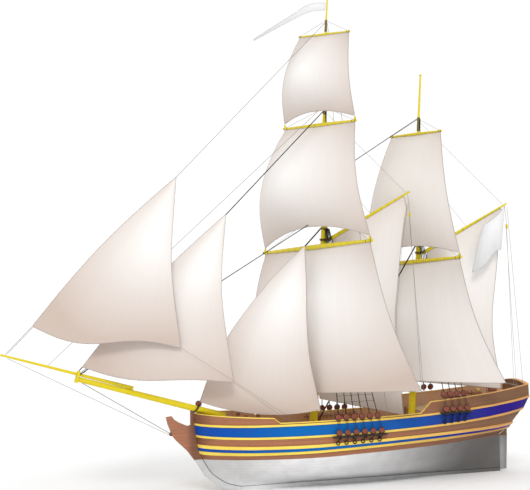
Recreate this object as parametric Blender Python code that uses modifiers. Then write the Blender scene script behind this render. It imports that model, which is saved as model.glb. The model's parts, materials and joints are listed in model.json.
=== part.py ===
"""Two-masted square-rigged sailing ship, under sail with the wind on its starboard quarter.

Metres. +X is forward, +Y is to port and +Z is up. The origin is amidships on the water.
"""

import bpy
import bmesh
from math import atan, cos, pi, radians, sin, tan

from mathutils import Matrix, Vector
from mathutils.bvhtree import BVHTree

# Driving dimensions: hull
KEEL_BOTTOM = -2.20
KEEL_TOP = -1.95
KEEL_WIDTH = 0.24
STEM_HALF = 0.10
BULWARK_THICK = 0.15
STRAKE_GAP = 0.0006
STRAKE_INSET = 0.0015
RAIL_LIP = 0.06
FORECASTLE_RAISE = (0.39, 0.60)
QUARTERDECK_RAISE = 0.74
MIDSHIP_T = 0.66
DECK_SIDE_GAP = 0.006
TAFFRAIL_ARCH = 0.20
TRANSOM_THICK = 0.14

# Driving dimensions: masts, each a foot position, a rake and the heights of its sticks
MAIN_FOOT_X = 3.84
MAIN_RAKE = 0.0945
MIZZEN_FOOT_X = -3.22
MIZZEN_RAKE = 0.080
MAST_FOOT_Z = 1.36
TOPMAST_STEP = 0.44
TOPGALLANT_STEP = 0.27
MAIN_HEIGHTS = {"lower": (None, 16.6), "topmast": (15.10, 24.1), "topgallant": (22.92, 30.75)}
MIZZEN_HEIGHTS = {"lower": (None, 15.2), "topmast": (13.75, 25.3)}
LOWER_RADII = (0.27, 0.20)
TOPMAST_RADII = (0.165, 0.11)
TOPGALLANT_RADII = (0.095, 0.05)
MIZZEN_LOWER_RADII = (0.24, 0.17)
MIZZEN_TOPMAST_RADII = (0.14, 0.06)
MAIN_TOP_Z = 15.16
MIZZEN_TOP_Z = 13.81
MAIN_CROSSTREES_Z = 22.98
PLATFORM_THICK = 0.12
HOLE_CLEARANCE = 0.0005
MAST_SIDES = 72

# Driving dimensions: yards and gaffs
BRACE = radians(16.0)
SPAR_GAP = 0.0006
JAW_GAP = 0.0025
SAIL_THICK = 0.03
FLAG_THICK = 0.02
SAIL_GAP = 0.0007
SEAT_GAP = 0.0005
SEAT_REACH = 0.3
SEAT_SAMPLES = 12
HEAD_BAND = 0.015
TRUSS_REACH = 0.12
TRUSS_RADIUS = 0.07
TRUSS_GAP = 0.0008
SQUARE_GRID = (10, 10)
GAFF_GRID = (8, 9)

# Driving dimensions: head gear
BOWSPRIT_HEEL = Vector((9.90, 0.0, 2.76))
BOWSPRIT_END = Vector((19.78, 0.0, 5.76))
BOWSPRIT_RADII = (0.23, 0.17)
JIBBOOM_HEEL_X = 16.1
JIBBOOM_TIP_X = 24.55
JIBBOOM_RADII = (0.125, 0.07)
CAP_THICK = 0.16
CAP_RANGE = (-0.25, 0.53)
MAIN_STAY_FOOT_X = 11.75
ROPE_GAP = 0.0008
ROPE_RADIUS = 0.035

COLOURS = {
    "oak": (0.30, 0.16, 0.09),
    "bottom_grey": (0.42, 0.42, 0.43),
    "yellow_paint": (0.90, 0.66, 0.14),
    "blue_paint": (0.01, 0.09, 0.40),
    "deck_plank": (0.55, 0.40, 0.25),
    "spar_yellow": (0.62, 0.52, 0.06),
    "sailcloth": (0.87, 0.82, 0.78),
    "tarred_rope": (0.04, 0.04, 0.045),
    "bunting": (0.80, 0.80, 0.82),
}

# Hull half-breadths. Columns: t along the hull (0 stern, 1 stem), floor, bilge, water, wale, rail
HULL_STATIONS = (
    (0.00, 0.12, 0.12, 0.12, 1.15, 2.12),
    (0.05, 0.14, 0.28, 0.72, 1.85, 2.33),
    (0.15, 0.22, 0.85, 1.85, 2.62, 2.72),
    (0.30, 0.55, 1.90, 2.85, 3.18, 3.10),
    (0.50, 0.95, 2.75, 3.28, 3.42, 3.28),
    (0.70, 0.80, 2.50, 3.20, 3.38, 3.26),
    (0.85, 0.32, 1.35, 2.35, 2.80, 2.92),
    (0.94, 0.15, 0.55, 1.25, 1.72, 2.05),
    (0.98, 0.11, 0.22, 0.55, 0.85, 1.15),
    (1.00, 0.10, 0.10, 0.10, 0.10, 0.10),
)

# Height of the table's columns amidships, in the same order, with the keel edge first
LINE_ROWS = ("keel", "floor", "bilge", "paint", "wale", "rail")

# Rows of the planking. Columns: name, height amidships, rise to the stern, power, rise to the stem
ROWS = (
    ("keel", KEEL_TOP, 0.0, 1.0, 0.0),
    ("floor", -1.75, 0.0, 1.0, 0.0),
    ("turn", -1.40, 0.0, 1.0, 0.0),
    ("bilge", -1.00, 0.0, 1.0, 0.0),
    ("under", -0.50, 0.05, 1.0, 0.0),
    ("paint", 0.00, 0.36, 1.0, 0.0),
    ("wale_low", 0.33, 0.52, 1.2, 0.04),
    ("wale_thin", 0.48, 0.51, 1.2, 0.10),
    ("wale", 0.67, 0.48, 1.2, 0.14),
    ("wale_high", 0.86, 0.46, 1.2, 0.16),
    ("deck", 1.32, 0.82, 2.4, 0.18),
    ("moulding", 1.46, 0.84, 2.4, 0.18),
    ("rail_low", 2.13, 0.84, 2.4, 0.15),
    ("rail", 2.26, 0.85, 2.4, 0.15),
)
ROW_NAMES = [row[0] for row in ROWS]

# Raised strakes. Columns: node, lower row, upper row, how far it stands out, material
STRAKES = (
    ("wale_lower", "wale_low", "wale_thin", 0.07, "yellow_paint"),
    ("wale_band", "wale_thin", "wale", 0.03, "blue_paint"),
    ("wale_upper", "wale", "wale_high", 0.08, "yellow_paint"),
    ("sheer_moulding", "deck", "moulding", 0.06, "yellow_paint"),
    ("sheer_band", "moulding", "rail_low", 0.02, "blue_paint"),
    ("rail_strake", "rail_low", "rail", 0.07, "yellow_paint"),
)

QUARTERDECK_BREAK = (0.343, 0.375)
FORECASTLE_BREAK = (0.787, 0.804)
QUARTERDECK_FRONT_T = 0.31
FORECASTLE_AFT_T = 0.804
STATIONS = (0.0, 0.03, 0.08, 0.15, 0.24, QUARTERDECK_FRONT_T, QUARTERDECK_BREAK[0],
            QUARTERDECK_BREAK[1], 0.46, 0.56, 0.66, 0.73, FORECASTLE_BREAK[0],
            FORECASTLE_BREAK[1], 0.86, 0.905, 0.94, 0.968, 0.987, 1.0)

# Profiles on the centreline, as height and X: fore edge of the planking, and its after end
STEM_PROFILE = ((-1.95, 8.95), (-1.65, 9.97), (-0.96, 10.91), (-0.24, 11.37), (0.44, 11.74),
                (1.75, 11.95), (3.0, 12.06))
STERN_PROFILE = ((-1.95, -9.62), (0.55, -9.62), (0.85, -10.25), (1.10, -10.55), (1.50, -10.98),
                 (2.00, -11.40), (3.10, -11.82), (4.2, -12.06))

# The counter drawn in at the very stern, as height and X, and the share of the hull over which it
# runs into the profile above
COUNTER_PROFILE = ((-1.95, -9.62), (0.55, -9.62), (0.85, -10.00), (1.00, -10.05), (1.15, -10.097),
                   (1.32, -10.143), (1.45, -10.18), (1.75, -10.34), (2.14, -10.64), (2.30, -10.79),
                   (2.60, -10.94), (2.97, -11.03), (3.11, -11.055), (4.20, -11.20))
COUNTER_REACH = 0.2

# Shroud sets. Columns: mast, first and last foot X, count, channel Z, masthead Z, row under the rings
SHROUD_SETS = (
    ("main", 3.20, 0.21, 6, 1.31, 14.92, "wale_high"),
    ("mizzen", -4.43, -6.06, 4, 2.40, 13.58, "moulding"),
)
RING_RISE = {"wale_high": 0.05, "moulding": 0.16}
RING_RADIUS = 0.11
CHANNEL_GAP = 0.0006
CHANNEL_DEPTH = 0.42
CHANNEL_THICK = 0.09
DEADEYE_RADIUS = 0.19
DEADEYE_THICK = 0.12
SHROUD_RADIUS = 0.045
LOWER_DEADEYE_RISE = 0.26
UPPER_DEADEYE_RISE = 1.27

# Yards. Columns: node, mast stick, height, starboard arm, port arm, radius, cant in degrees
YARDS = (
    ("main_lower_yard", "main_lower", 13.68, 6.70, 6.50, 0.17, 2.8),
    ("main_topsail_yard", "main_topmast", 21.91, 4.50, 4.25, 0.12, -0.6),
    ("main_topgallant_yard", "main_topgallant", 28.01, 2.90, 3.20, 0.08, -3.2),
    ("mizzen_lower_yard", "mizzen_lower", 12.45, 5.50, 5.40, 0.15, 2.8),
    ("mizzen_topsail_yard", "mizzen_topmast", 21.20, 2.80, 2.95, 0.10, 0.0),
)

# Square sails. Columns: node, yard, lower yard, bulge of starboard leech, of port leech,
# belly at half height, belly at the foot, rise of the foot
SQUARE_SAILS = (
    ("main_topsail", "main_topsail_yard", "main_lower_yard", 1.00, 0.42, 1.5, 0.45, 1.05),
    ("main_topgallant_sail", "main_topgallant_yard", "main_topsail_yard", 0.62, 0.22, 1.0, 0.30, 0.60),
    ("mizzen_topsail", "mizzen_topsail_yard", "mizzen_lower_yard", 0.50, 0.25, 1.0, 0.40, 0.75),
    ("main_course", "main_lower_yard", None, 0.85, 0.42, 1.8, 3.0, 0.25),
    ("mizzen_course", "mizzen_lower_yard", None, 0.50, 0.45, 1.5, 3.0, 0.10),
)

# Clews of the two courses, starboard then port
COURSE_CLEWS = {
    "main_course": (Vector((5.35, -6.00, 3.45)), Vector((-1.47, 6.60, 4.25))),
    "mizzen_course": (Vector((-2.60, -5.20, 4.55)), Vector((-8.10, 5.00, 4.30))),
}

# Gaffs. Columns: node, mast stick, jaw height, peak X, peak Y, peak Z, radius at the jaws
GAFFS = (
    ("main_gaff", "main_lower", 14.15, -2.70, 2.50, 17.22, 0.13),
    ("mizzen_gaff", "mizzen_lower", 13.05, -9.83, 2.20, 16.25, 0.12),
)

# Gaff sails: the leech from the peak down to the clew, and the tack at the mast
GAFF_SAILS = {
    "main_trysail": {
        "gaff": "main_gaff",
        "leech": ((-2.24, 2.20, 14.65), (-1.85, 1.80, 10.75), (-1.72, 1.52, 7.97), (-2.23, 1.20, 2.20)),
        "tack_z": 3.55,
        "belly": 0.55,
    },
    "mizzen_spanker": {
        "gaff": "mizzen_gaff",
        "leech": ((-9.30, 2.08, 14.4), (-9.10, 1.90, 12.2), (-8.73, 1.60, 7.87), (-9.33, 1.40, 3.62)),
        "tack_z": 4.30,
        "belly": 0.50,
    },
}

# Headsails: stay, heights of head and tack on it, leech from the head down, belly to port
HEADSAILS = {
    "flying_jib": {
        "stay": "main_topgallant_stay",
        "luff": (18.46, 9.25),
        "leech": ((13.45, 1.30, 13.85), (13.50, 1.75, 11.10), (13.18, 2.00, 7.51)),
        "belly": 0.70,
        "foot_drop": 0.35,
    },
    "inner_jib": {
        "stay": "main_topmast_stay",
        "luff": (15.84, 6.48),
        "leech": ((10.15, 1.35, 12.30), (10.25, 1.80, 9.74), (9.80, 2.20, 5.12)),
        "belly": 0.75,
        "foot_drop": 0.35,
    },
    "fore_staysail": {
        "stay": "main_stay",
        "luff": (13.72, 3.78),
        "leech": ((4.58, 2.00, 11.30), (4.90, 2.85, 8.98), (4.80, 2.95, 6.36), (4.20, 2.95, 3.10)),
        "belly": 0.55,
        "foot_drop": 0.55,
    },
}

# Flags: upper and lower edge, from just past the hoist to the fly
PENNANT_HOIST = (30.16, 29.66)
PENNANT_EDGES = (
    ((3.20, 0.30, 30.00), (4.70, 0.55, 29.15), (7.25, 0.60, 27.62)),
    ((3.15, 0.30, 29.50), (4.60, 0.55, 28.87), (7.25, 0.60, 27.50)),
)
ENSIGN_ALONG_GAFF = 0.975
ENSIGN_EDGES = (
    ((-8.85, 2.50, 15.35), (-8.25, 2.55, 14.98), (-7.90, 2.50, 14.86)),
    ((-9.22, 2.42, 13.12), (-8.75, 2.62, 13.02), (-8.05, 2.60, 12.25), (-6.98, 2.50, 11.62)),
)


def clear_scene():
    """Removes the objects that the file starts with."""
    for item in list(bpy.data.objects):
        bpy.data.objects.remove(item)


def make_collection(name):
    """A collection linked to the scene."""
    group = bpy.data.collections.new(name)
    bpy.context.scene.collection.children.link(group)
    return group


clear_scene()
SHIP = make_collection("sailing_ship")
CUTTERS = make_collection("cutters")


def material(key, tag):
    """A painted, wooden or cloth surface with the colour of this sub-part."""
    mat = bpy.data.materials.new(tag + "_" + key)
    mat.use_nodes = True
    surface = mat.node_tree.nodes["Principled BSDF"]
    surface.inputs["Base Color"].default_value = (*COLOURS[key], 1.0)
    surface.inputs["Roughness"].default_value = 0.45 if key == "bottom_grey" else 0.65
    surface.inputs["Metallic"].default_value = 0.6 if key == "bottom_grey" else 0.0
    return mat


def add_part(name, mesh, key, smooth_angle=None):
    """Links a mesh as one named sub-part with its own material."""
    if smooth_angle is not None:
        mesh.shade_smooth()
        mesh.set_sharp_from_angle(angle=radians(smooth_angle))
    part = bpy.data.objects.new(name, mesh)
    mesh.materials.clear()
    mesh.materials.append(material(key, name))
    SHIP.objects.link(part)
    return part


def mesh_from(name, points, faces):
    """A mesh of points and faces, with its faces turned outwards."""
    mesh = bpy.data.meshes.new(name)
    mesh.from_pydata([tuple(p) for p in points], [], faces)
    shape = bmesh.new()
    shape.from_mesh(mesh)
    bmesh.ops.remove_doubles(shape, verts=shape.verts, dist=0.00001)
    bmesh.ops.recalc_face_normals(shape, faces=shape.faces)
    shape.to_mesh(mesh)
    shape.free()
    return mesh


def smooth_at(x, table):
    """Value at x of a monotone cubic through (x, value) pairs."""
    xs = [pair[0] for pair in table]
    ys = [pair[1] for pair in table]
    if x <= xs[0]:
        return ys[0]
    if x >= xs[-1]:
        return ys[-1]
    slopes = [(ys[i + 1] - ys[i]) / (xs[i + 1] - xs[i]) for i in range(len(xs) - 1)]
    k = max(i for i in range(len(xs) - 1) if xs[i] <= x)

    def tangent(i):
        if i == 0 or i == len(xs) - 1:
            return slopes[min(i, len(slopes) - 1)]
        before, after = slopes[i - 1], slopes[i]
        return 0.0 if before * after <= 0 else 2 * before * after / (before + after)

    step = xs[k + 1] - xs[k]
    s = (x - xs[k]) / step
    return ((1 + 2 * s) * (1 - s) ** 2 * ys[k] + s * (1 - s) ** 2 * step * tangent(k)
            + s * s * (3 - 2 * s) * ys[k + 1] + s * s * (s - 1) * step * tangent(k + 1))


def curve_point(points, s):
    """Point at s, from 0 to 1, on a smooth curve that passes through the given points."""
    knots = [i / (len(points) - 1) for i in range(len(points))]
    last = len(points) - 2
    k = min(int(s * (last + 1)), last)
    a = Vector(points[k])
    b = Vector(points[k + 1])
    ta = (b - Vector(points[k - 1])) / 2 if k > 0 else b - a
    tb = (Vector(points[k + 2]) - a) / 2 if k < last else b - a
    f = (s - knots[k]) * (last + 1)
    return (a * (1 + 2 * f) * (1 - f) ** 2 + ta * f * (1 - f) ** 2
            + b * f * f * (3 - 2 * f) + tb * f * f * (f - 1))


# Hull

def row_height(row, t):
    """Height of a planking row at t, with its sheer."""
    _, mid, rise_aft, power, rise_fore = ROWS[ROW_NAMES.index(row)]
    aft = max(0.0, (MIDSHIP_T - t) / MIDSHIP_T)
    fore = max(0.0, (t - MIDSHIP_T) / (1.0 - MIDSHIP_T))
    return mid + rise_aft * aft ** power + rise_fore * fore ** 2


def half_breadth(z, t):
    """Half-breadth of the planking at t and height z."""
    column = {"keel": [(row[0], row[1]) for row in HULL_STATIONS]}
    for index, line in enumerate(LINE_ROWS[1:], start=1):
        column[line] = [(row[0], row[index]) for row in HULL_STATIONS]
    lines = [(row_height(line, t), smooth_at(t, column[line])) for line in LINE_ROWS]
    lines[0] = (lines[0][0], KEEL_WIDTH / 2 if t < 1.0 else STEM_HALF)
    return smooth_at(z, lines)


def hull_point(row, t):
    """Point of the port planking on a row at t."""
    z = row_height(row, t)
    x = smooth_at(z, STERN_PROFILE) * (1 - t) + smooth_at(z, STEM_PROFILE) * t
    tuck = smooth_at(z, COUNTER_PROFILE) - smooth_at(z, STERN_PROFILE)
    x += tuck * max(0.0, 1.0 - t / COUNTER_REACH) ** 2
    return Vector((x, half_breadth(z, t), z))


GRID = {row: [hull_point(row, t) for t in STATIONS] for row in ROW_NAMES}


def mirrored(point):
    """The same point on the starboard side."""
    return Vector((point.x, -point.y, point.z))


def hull_block(name, rows, key):
    """Closed solid between two rows of the planking, flat across its top and its bottom."""
    port = [[GRID[row][i].copy() for i in range(len(STATIONS))] for row in rows]
    for point in port[-1]:
        point.z -= STRAKE_GAP
    count = len(STATIONS)
    points = [p for line in port for p in line] + [mirrored(p) for line in port for p in line]
    half = len(rows) * count

    def at(side, j, i):
        return side * half + j * count + i

    faces = []
    for j in range(len(rows) - 1):
        for i in range(count - 1):
            for side in (0, 1):
                faces.append((at(side, j, i), at(side, j, i + 1), at(side, j + 1, i + 1)))
                faces.append((at(side, j, i), at(side, j + 1, i + 1), at(side, j + 1, i)))
        for i in (0, count - 1):
            faces.append((at(0, j, i), at(0, j + 1, i), at(1, j + 1, i), at(1, j, i)))
    for j in (0, len(rows) - 1):
        for i in range(count - 1):
            faces.append((at(0, j, i), at(0, j, i + 1), at(1, j, i + 1), at(1, j, i)))
    return add_part(name, mesh_from(name, points, faces), key, 35)


def round_the_hull(row):
    """Row from the stem along the port side, across the stern and back to the stem."""
    port = GRID[row][::-1]
    return port + [mirrored(p) for p in port[::-1]]


def skin_normals(low, high):
    """Outward directions at the points of two neighbouring rows."""
    normals = []
    for line in (low, high):
        row = []
        for i in range(len(line)):
            along = line[min(i + 1, len(line) - 1)] - line[max(i - 1, 0)]
            row.append(along.cross(high[i] - low[i]).normalized())
        normals.append(row)
    return normals


def strake(name, low_row, high_row, proud, key):
    """Raised plank that runs round the hull between two rows."""
    low = round_the_hull(low_row)
    high = round_the_hull(high_row)
    normals = skin_normals(low, high)
    outward = 1 if normals[0][3].y > 0 else -1
    rings = []
    for i in range(len(low)):
        n_low = normals[0][i] * outward
        n_high = normals[1][i] * outward
        if i in (0, len(low) - 1):
            n_low = n_high = Vector((0.0, 1.0 if i == 0 else -1.0, 0.0))
        up = (high[i] - low[i]).normalized() * STRAKE_INSET
        rings.append((low[i] + up + n_low * STRAKE_GAP, high[i] - up + n_high * STRAKE_GAP,
                      high[i] - up + n_high * proud, low[i] + up + n_low * proud))
    points = [p for ring in rings for p in ring]
    faces = [(0, 1, 2, 3), tuple(len(points) - 4 + k for k in (3, 2, 1, 0))]
    for i in range(len(rings) - 1):
        port_side = i < len(STATIONS)
        for k in range(4):
            a, b = 4 * i + k, 4 * i + (k + 1) % 4
            c, d = b + 4, a + 4
            if (k == 0) == port_side:
                faces += [(a, b, d), (b, c, d)]
            else:
                faces += [(a, b, c), (a, c, d)]
    return add_part(name, mesh_from(name, points, faces), key)


def raise_above_rail(t):
    """How far the bulwark's top stands above the rail row at t."""
    if t >= FORECASTLE_BREAK[1]:
        f = (t - FORECASTLE_BREAK[1]) / (1 - FORECASTLE_BREAK[1])
        return FORECASTLE_RAISE[0] + (FORECASTLE_RAISE[1] - FORECASTLE_RAISE[0]) * f
    if t <= QUARTERDECK_BREAK[0]:
        return QUARTERDECK_RAISE
    return RAIL_LIP


def plan_inward(line, i):
    """Horizontal direction into the ship from a point of a port row."""
    before = line[i - 1] if i > 0 else line[i]
    after = line[i + 1] if i < len(line) - 1 else mirrored(line[i])
    along = Vector((after.x - before.x, after.y - before.y, 0.0)).normalized()
    return Vector((along.y, -along.x, 0.0))


def bulwark_rings():
    """Outer and inner points of the port bulwark at each station, from the deck up."""
    rings = []
    for i, t in enumerate(STATIONS):
        outer = [GRID[row][i] for row in ("deck", "moulding", "rail_low", "rail")]
        top = outer[-1] + Vector((0.0, -0.05 * raise_above_rail(t), raise_above_rail(t)))
        outer.append(top)
        inward = plan_inward(GRID["rail"], i)
        if i == 0:
            inward = Vector((0.0, -1.0, 0.0))
        reach = BULWARK_THICK / max(0.5, abs(inward.y)) if i < len(STATIONS) - 1 else 0.04
        inner = [p + inward * BULWARK_THICK if i < len(STATIONS) - 1 else
                 Vector((p.x - BULWARK_THICK, p.y - reach, p.z)) for p in outer]
        rings.append((outer, inner))
    return rings


BULWARK = bulwark_rings()


def bulwark(name, side):
    """Bulwark of one side, from the deck edge to the cap."""
    points = []
    for outer, inner in BULWARK:
        ring = outer + inner[::-1]
        points += [p if side > 0 else mirrored(p) for p in ring]
    size = len(BULWARK[0][0]) * 2
    last = (len(BULWARK) - 1) * size
    faces = []
    for k in range(size // 2 - 1):
        end = (k, k + 1, size - 2 - k, size - 1 - k)
        faces += [end, tuple(last + v for v in reversed(end))]
    for i in range(len(BULWARK) - 1):
        for k in range(size):
            a, b = size * i + k, size * i + (k + 1) % size
            c, d = b + size, a + size
            faces += [(a, d, c), (a, c, b)]
    return add_part(name, mesh_from(name, points, faces), "oak")


def inner_half(x, low_row, high_row):
    """Half-breadth between the bulwarks at X, over the rows from low to high."""
    widths = []
    for k in range(low_row, high_row + 1):
        line = [inner[k] for _, inner in BULWARK]
        for a, b in zip(line, line[1:]):
            if a.x <= x <= b.x:
                widths.append(a.y + (b.y - a.y) * (x - a.x) / (b.x - a.x))
    return min(widths)


def row_z(row, x):
    """Height of a planking row at X."""
    line = GRID[row]
    k = max(i for i in range(len(line) - 1) if line[i].x <= x)
    return line[k].z + (line[k + 1].z - line[k].z) * (x - line[k].x) / (line[k + 1].x - line[k].x)


def deck_height(x, row):
    """Height at X of the main deck, or of the raised decks for the rail_low row."""
    spots = [(p.x, q.z) for p, q in zip(GRID["deck"], GRID[row])]
    k = max(i for i in range(len(spots) - 1) if spots[i][0] <= x)
    f = (x - spots[k][0]) / (spots[k + 1][0] - spots[k][0])
    return spots[k][1] + (spots[k + 1][1] - spots[k][1]) * f


def deck_block(name, first_t, last_t, key):
    """Raised deck between the bulwarks, standing on the main deck."""
    chosen = [i for i, t in enumerate(STATIONS) if first_t <= t <= last_t]
    points = []
    for i in chosen:
        bottom = GRID["deck"][i].z
        top = GRID["rail_low"][i].z
        low_x = high_x = GRID["deck"][i].x
        if i == 0:
            low_x = GRID["deck"][0].x + TRANSOM_THICK + 4 * DECK_SIDE_GAP
            high_x = GRID["rail_low"][0].x + TRANSOM_THICK + DECK_SIDE_GAP
            bottom = deck_height(low_x, "deck")
        half = min(inner_half(low_x, 0, 2), inner_half(high_x, 0, 2)) - DECK_SIDE_GAP
        points += [Vector((low_x, half, bottom)), Vector((high_x, half, top)),
                   Vector((high_x, -half, top)), Vector((low_x, -half, bottom))]
    last = len(points) - 4
    faces = [(0, 1, 2, 3), (last + 3, last + 2, last + 1, last)]
    for i in range(len(chosen) - 1):
        for k in range(4):
            a, b = 4 * i + k, 4 * i + (k + 1) % 4
            faces.append((a, a + 4, b + 4, b))
    return add_part(name, mesh_from(name, points, faces), key)


def transom():
    """Plate that closes the stern between the bulwarks, with an arched taffrail."""
    ends = BULWARK[0][0]
    outline = [(p.x, p.y - BULWARK_THICK - STRAKE_GAP, p.z) for p in ends]
    top = outline[-1]
    arch = []
    for k in range(1, 6):
        y = top[1] * (1 - k / 3)
        arch.append((top[0], y, top[2] + TAFFRAIL_ARCH * (1 - (y / top[1]) ** 2)))
    ring = outline + arch + [(x, -y, z) for x, y, z in reversed(outline)]
    back = [Vector(point) for point in ring]
    front = [Vector((x + TRANSOM_THICK, y, z)) for x, y, z in ring]
    count = len(ring)
    faces = []
    for k in range(count // 2):
        a, b = k, k + 1
        c, d = count - 2 - k, count - 1 - k
        if b <= c:
            quad = (a, b, c, d) if b < c else (a, b, d)
            faces += [quad, tuple(count + v for v in reversed(quad))]
    faces += [(k, (k + 1) % count, count + (k + 1) % count, count + k) for k in range(count)]
    return add_part("transom", mesh_from("transom", back + front, faces), "oak")


def plate(name, outline, half_thick, key):
    """Upright plate on the centreline with the given outline of X and Z."""
    count = len(outline)
    points = [(x, half_thick, z) for x, z in outline] + [(x, -half_thick, z) for x, z in outline]
    faces = [tuple(range(count)), tuple(count + k for k in reversed(range(count)))]
    faces += [(k, (k + 1) % count, count + (k + 1) % count, count + k) for k in range(count)]
    return add_part(name, mesh_from(name, points, faces), key)


def keel_and_stem():
    """The keel timber, the cutwater with its head knee, and the sternpost's line."""
    stem_row = [row for row in ROW_NAMES if row != "keel"]
    gap = STRAKE_GAP
    inner = [(GRID[row][-1].x + gap, GRID[row][-1].z) for row in reversed(stem_row)]
    keel_end = GRID["keel"][-1]
    inner.append((keel_end.x + gap, KEEL_TOP))
    head = BULWARK[-1][0][-1]
    outer = [(keel_end.x + gap, KEEL_BOTTOM), (9.83, -2.12), (10.62, -1.78), (11.40, -1.09),
             (11.90, -0.26), (12.52, 0.60), (13.28, 1.36), (13.49, 1.64), (13.78, 2.42),
             (13.89, 2.91), (13.51, 2.96), (13.34, 2.72), (13.02, 2.51), (12.46, 2.26),
             (12.26, 2.30), (head.x + 0.22, under_bowsprit(head.x + 0.22))]
    crown = [(head.x + gap, under_bowsprit(head.x + gap)), (head.x + gap, head.z)]
    plate("stem_knee", outer + crown + inner, STEM_HALF + 0.01, "oak")
    sternpost = GRID["keel"][0].x
    plate("keel", [(sternpost, KEEL_BOTTOM), (keel_end.x, KEEL_BOTTOM),
                   (keel_end.x, KEEL_TOP - STRAKE_GAP), (sternpost, KEEL_TOP - STRAKE_GAP)],
          KEEL_WIDTH / 2, "bottom_grey")


RUDDER_HALF = 0.07
RUDDER_AXIS = Vector((STERN_PROFILE[0][1] - RUDDER_HALF - SPAR_GAP, 0.0, 0.0))

# Rudder outline. Columns: height, how far the blade reaches abaft its axis
RUDDER_OUTLINE = ((-2.08, 0.44), (-1.60, 0.46), (-0.80, 0.51), (-0.20, 0.53), (0.15, 0.55), (0.30, 0.56))
RUDDER_HEAD_RISE = 0.40


def rudder():
    """Rudder hung on the sternpost, its rounded fore edge turning about the hinge axis."""
    points = []
    steps = 6
    for z, reach in RUDDER_OUTLINE:
        ring = []
        for k in range(steps + 1):
            angle = -pi / 2 + pi * k / steps
            ring.append(Vector((cos(angle) * RUDDER_HALF, sin(angle) * RUDDER_HALF, z)))
        ring += [Vector((-reach, RUDDER_HALF * 0.7, z)), Vector((-reach, -RUDDER_HALF * 0.7, z))]
        points += ring
    size = steps + 3
    last = len(points) - size
    for k in (size - 2, size - 1):
        points[last + k].z += RUDDER_HEAD_RISE
    faces = [tuple(range(size)), tuple(last + k for k in reversed(range(size)))]
    for ring in range(len(RUDDER_OUTLINE) - 1):
        for k in range(size):
            a, b = ring * size + k, ring * size + (k + 1) % size
            faces.append((a, b, b + size, a + size))
    blade = add_part("rudder", mesh_from("rudder", points, faces), "oak")
    blade.location = RUDDER_AXIS
    return blade


# Masts and spars

def spar_mesh(name, start, end, radii, sides=12, phase=0.5, level=False):
    """A straight tapered spar. radii is (start, end) or a list of (fraction, radius)."""
    stops = [(0.0, radii[0]), (1.0, radii[1])] if len(radii) == 2 and not isinstance(radii[0], tuple) else radii
    axis = (end - start).normalized()
    across = Vector((0.0, 0.0, 1.0)).cross(axis) if abs(axis.z) < 0.8 else Vector((0.0, 1.0, 0.0))
    first = (across - axis * across.dot(axis)).normalized()
    second = axis.cross(first)
    if level:
        second = Vector((-1.0, 0.0, 0.0))
    points = []
    for fraction, radius in stops:
        centre = start.lerp(end, fraction)
        for k in range(sides):
            angle = 2 * pi * (k + phase) / sides
            points.append(centre + (first * cos(angle) + second * sin(angle)) * radius)
    faces = [tuple(range(sides)), tuple(len(points) - 1 - k for k in range(sides))]
    for ring in range(len(stops) - 1):
        for k in range(sides):
            a, b = ring * sides + k, ring * sides + (k + 1) % sides
            faces.append((a, b, b + sides, a + sides))
    return mesh_from(name, points, faces)


class Stick:
    """One stick of a mast: its raked axis and its radius by height."""

    def __init__(self, foot_x, rake, offset, heights, radii):
        self.foot_x = foot_x + offset
        self.rake = rake
        self.radii = radii
        self.low, self.high = heights
        if self.low is None:
            sides = (self.foot_x - radii[0], self.foot_x + radii[0])
            self.low = max(deck_height(x, "deck") for x in sides)

    def axis(self, z):
        return Vector((self.foot_x - self.rake * (z - MAST_FOOT_Z), 0.0, z))

    def radius(self, z):
        f = (z - self.low) / (self.high - self.low)
        return self.radii[0] + (self.radii[1] - self.radii[0]) * min(max(f, 0.0), 1.0)

    def forward(self):
        return Vector((1.0, 0.0, self.rake)).normalized()

    def fore_face(self, z):
        """Distance from the axis to the fore side, square to the raked mast."""
        return self.radius(z) * cos(atan(self.rake))


STICKS = {
    "main_lower": Stick(MAIN_FOOT_X, MAIN_RAKE, 0.0, MAIN_HEIGHTS["lower"], LOWER_RADII),
    "main_topmast": Stick(MAIN_FOOT_X, MAIN_RAKE, TOPMAST_STEP, MAIN_HEIGHTS["topmast"], TOPMAST_RADII),
    "main_topgallant": Stick(MAIN_FOOT_X, MAIN_RAKE, TOPMAST_STEP + TOPGALLANT_STEP,
                             MAIN_HEIGHTS["topgallant"], TOPGALLANT_RADII),
    "mizzen_lower": Stick(MIZZEN_FOOT_X, MIZZEN_RAKE, 0.0, MIZZEN_HEIGHTS["lower"], MIZZEN_LOWER_RADII),
    "mizzen_topmast": Stick(MIZZEN_FOOT_X, MIZZEN_RAKE, TOPMAST_STEP - 0.04,
                            MIZZEN_HEIGHTS["topmast"], MIZZEN_TOPMAST_RADII),
}


def masts():
    """The five sticks of the two masts."""
    for name, stick in STICKS.items():
        mesh = spar_mesh(name, stick.axis(stick.low), stick.axis(stick.high), stick.radii, MAST_SIDES, 0.0, True)
        add_part(name + "_mast" if name.endswith("lower") or name.endswith("topgallant") else name,
                 mesh, "spar_yellow", 35)


def apply_modifiers(part):
    """Replaces the part's mesh by what its modifiers make of it."""
    graph = bpy.context.evaluated_depsgraph_get()
    baked = bpy.data.meshes.new_from_object(part.evaluated_get(graph))
    part.modifiers.clear()
    part.data = baked


def cut_hole(board, mesh):
    """Cuts a hole of the mesh's shape."""
    cutter = bpy.data.objects.new(board.name + "_hole", mesh)
    CUTTERS.objects.link(cutter)
    cutter.hide_render = True
    cutter.display_type = "WIRE"
    cut = board.modifiers.new("hole", "BOOLEAN")
    cut.operation = "DIFFERENCE"
    cut.object = cutter


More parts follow.
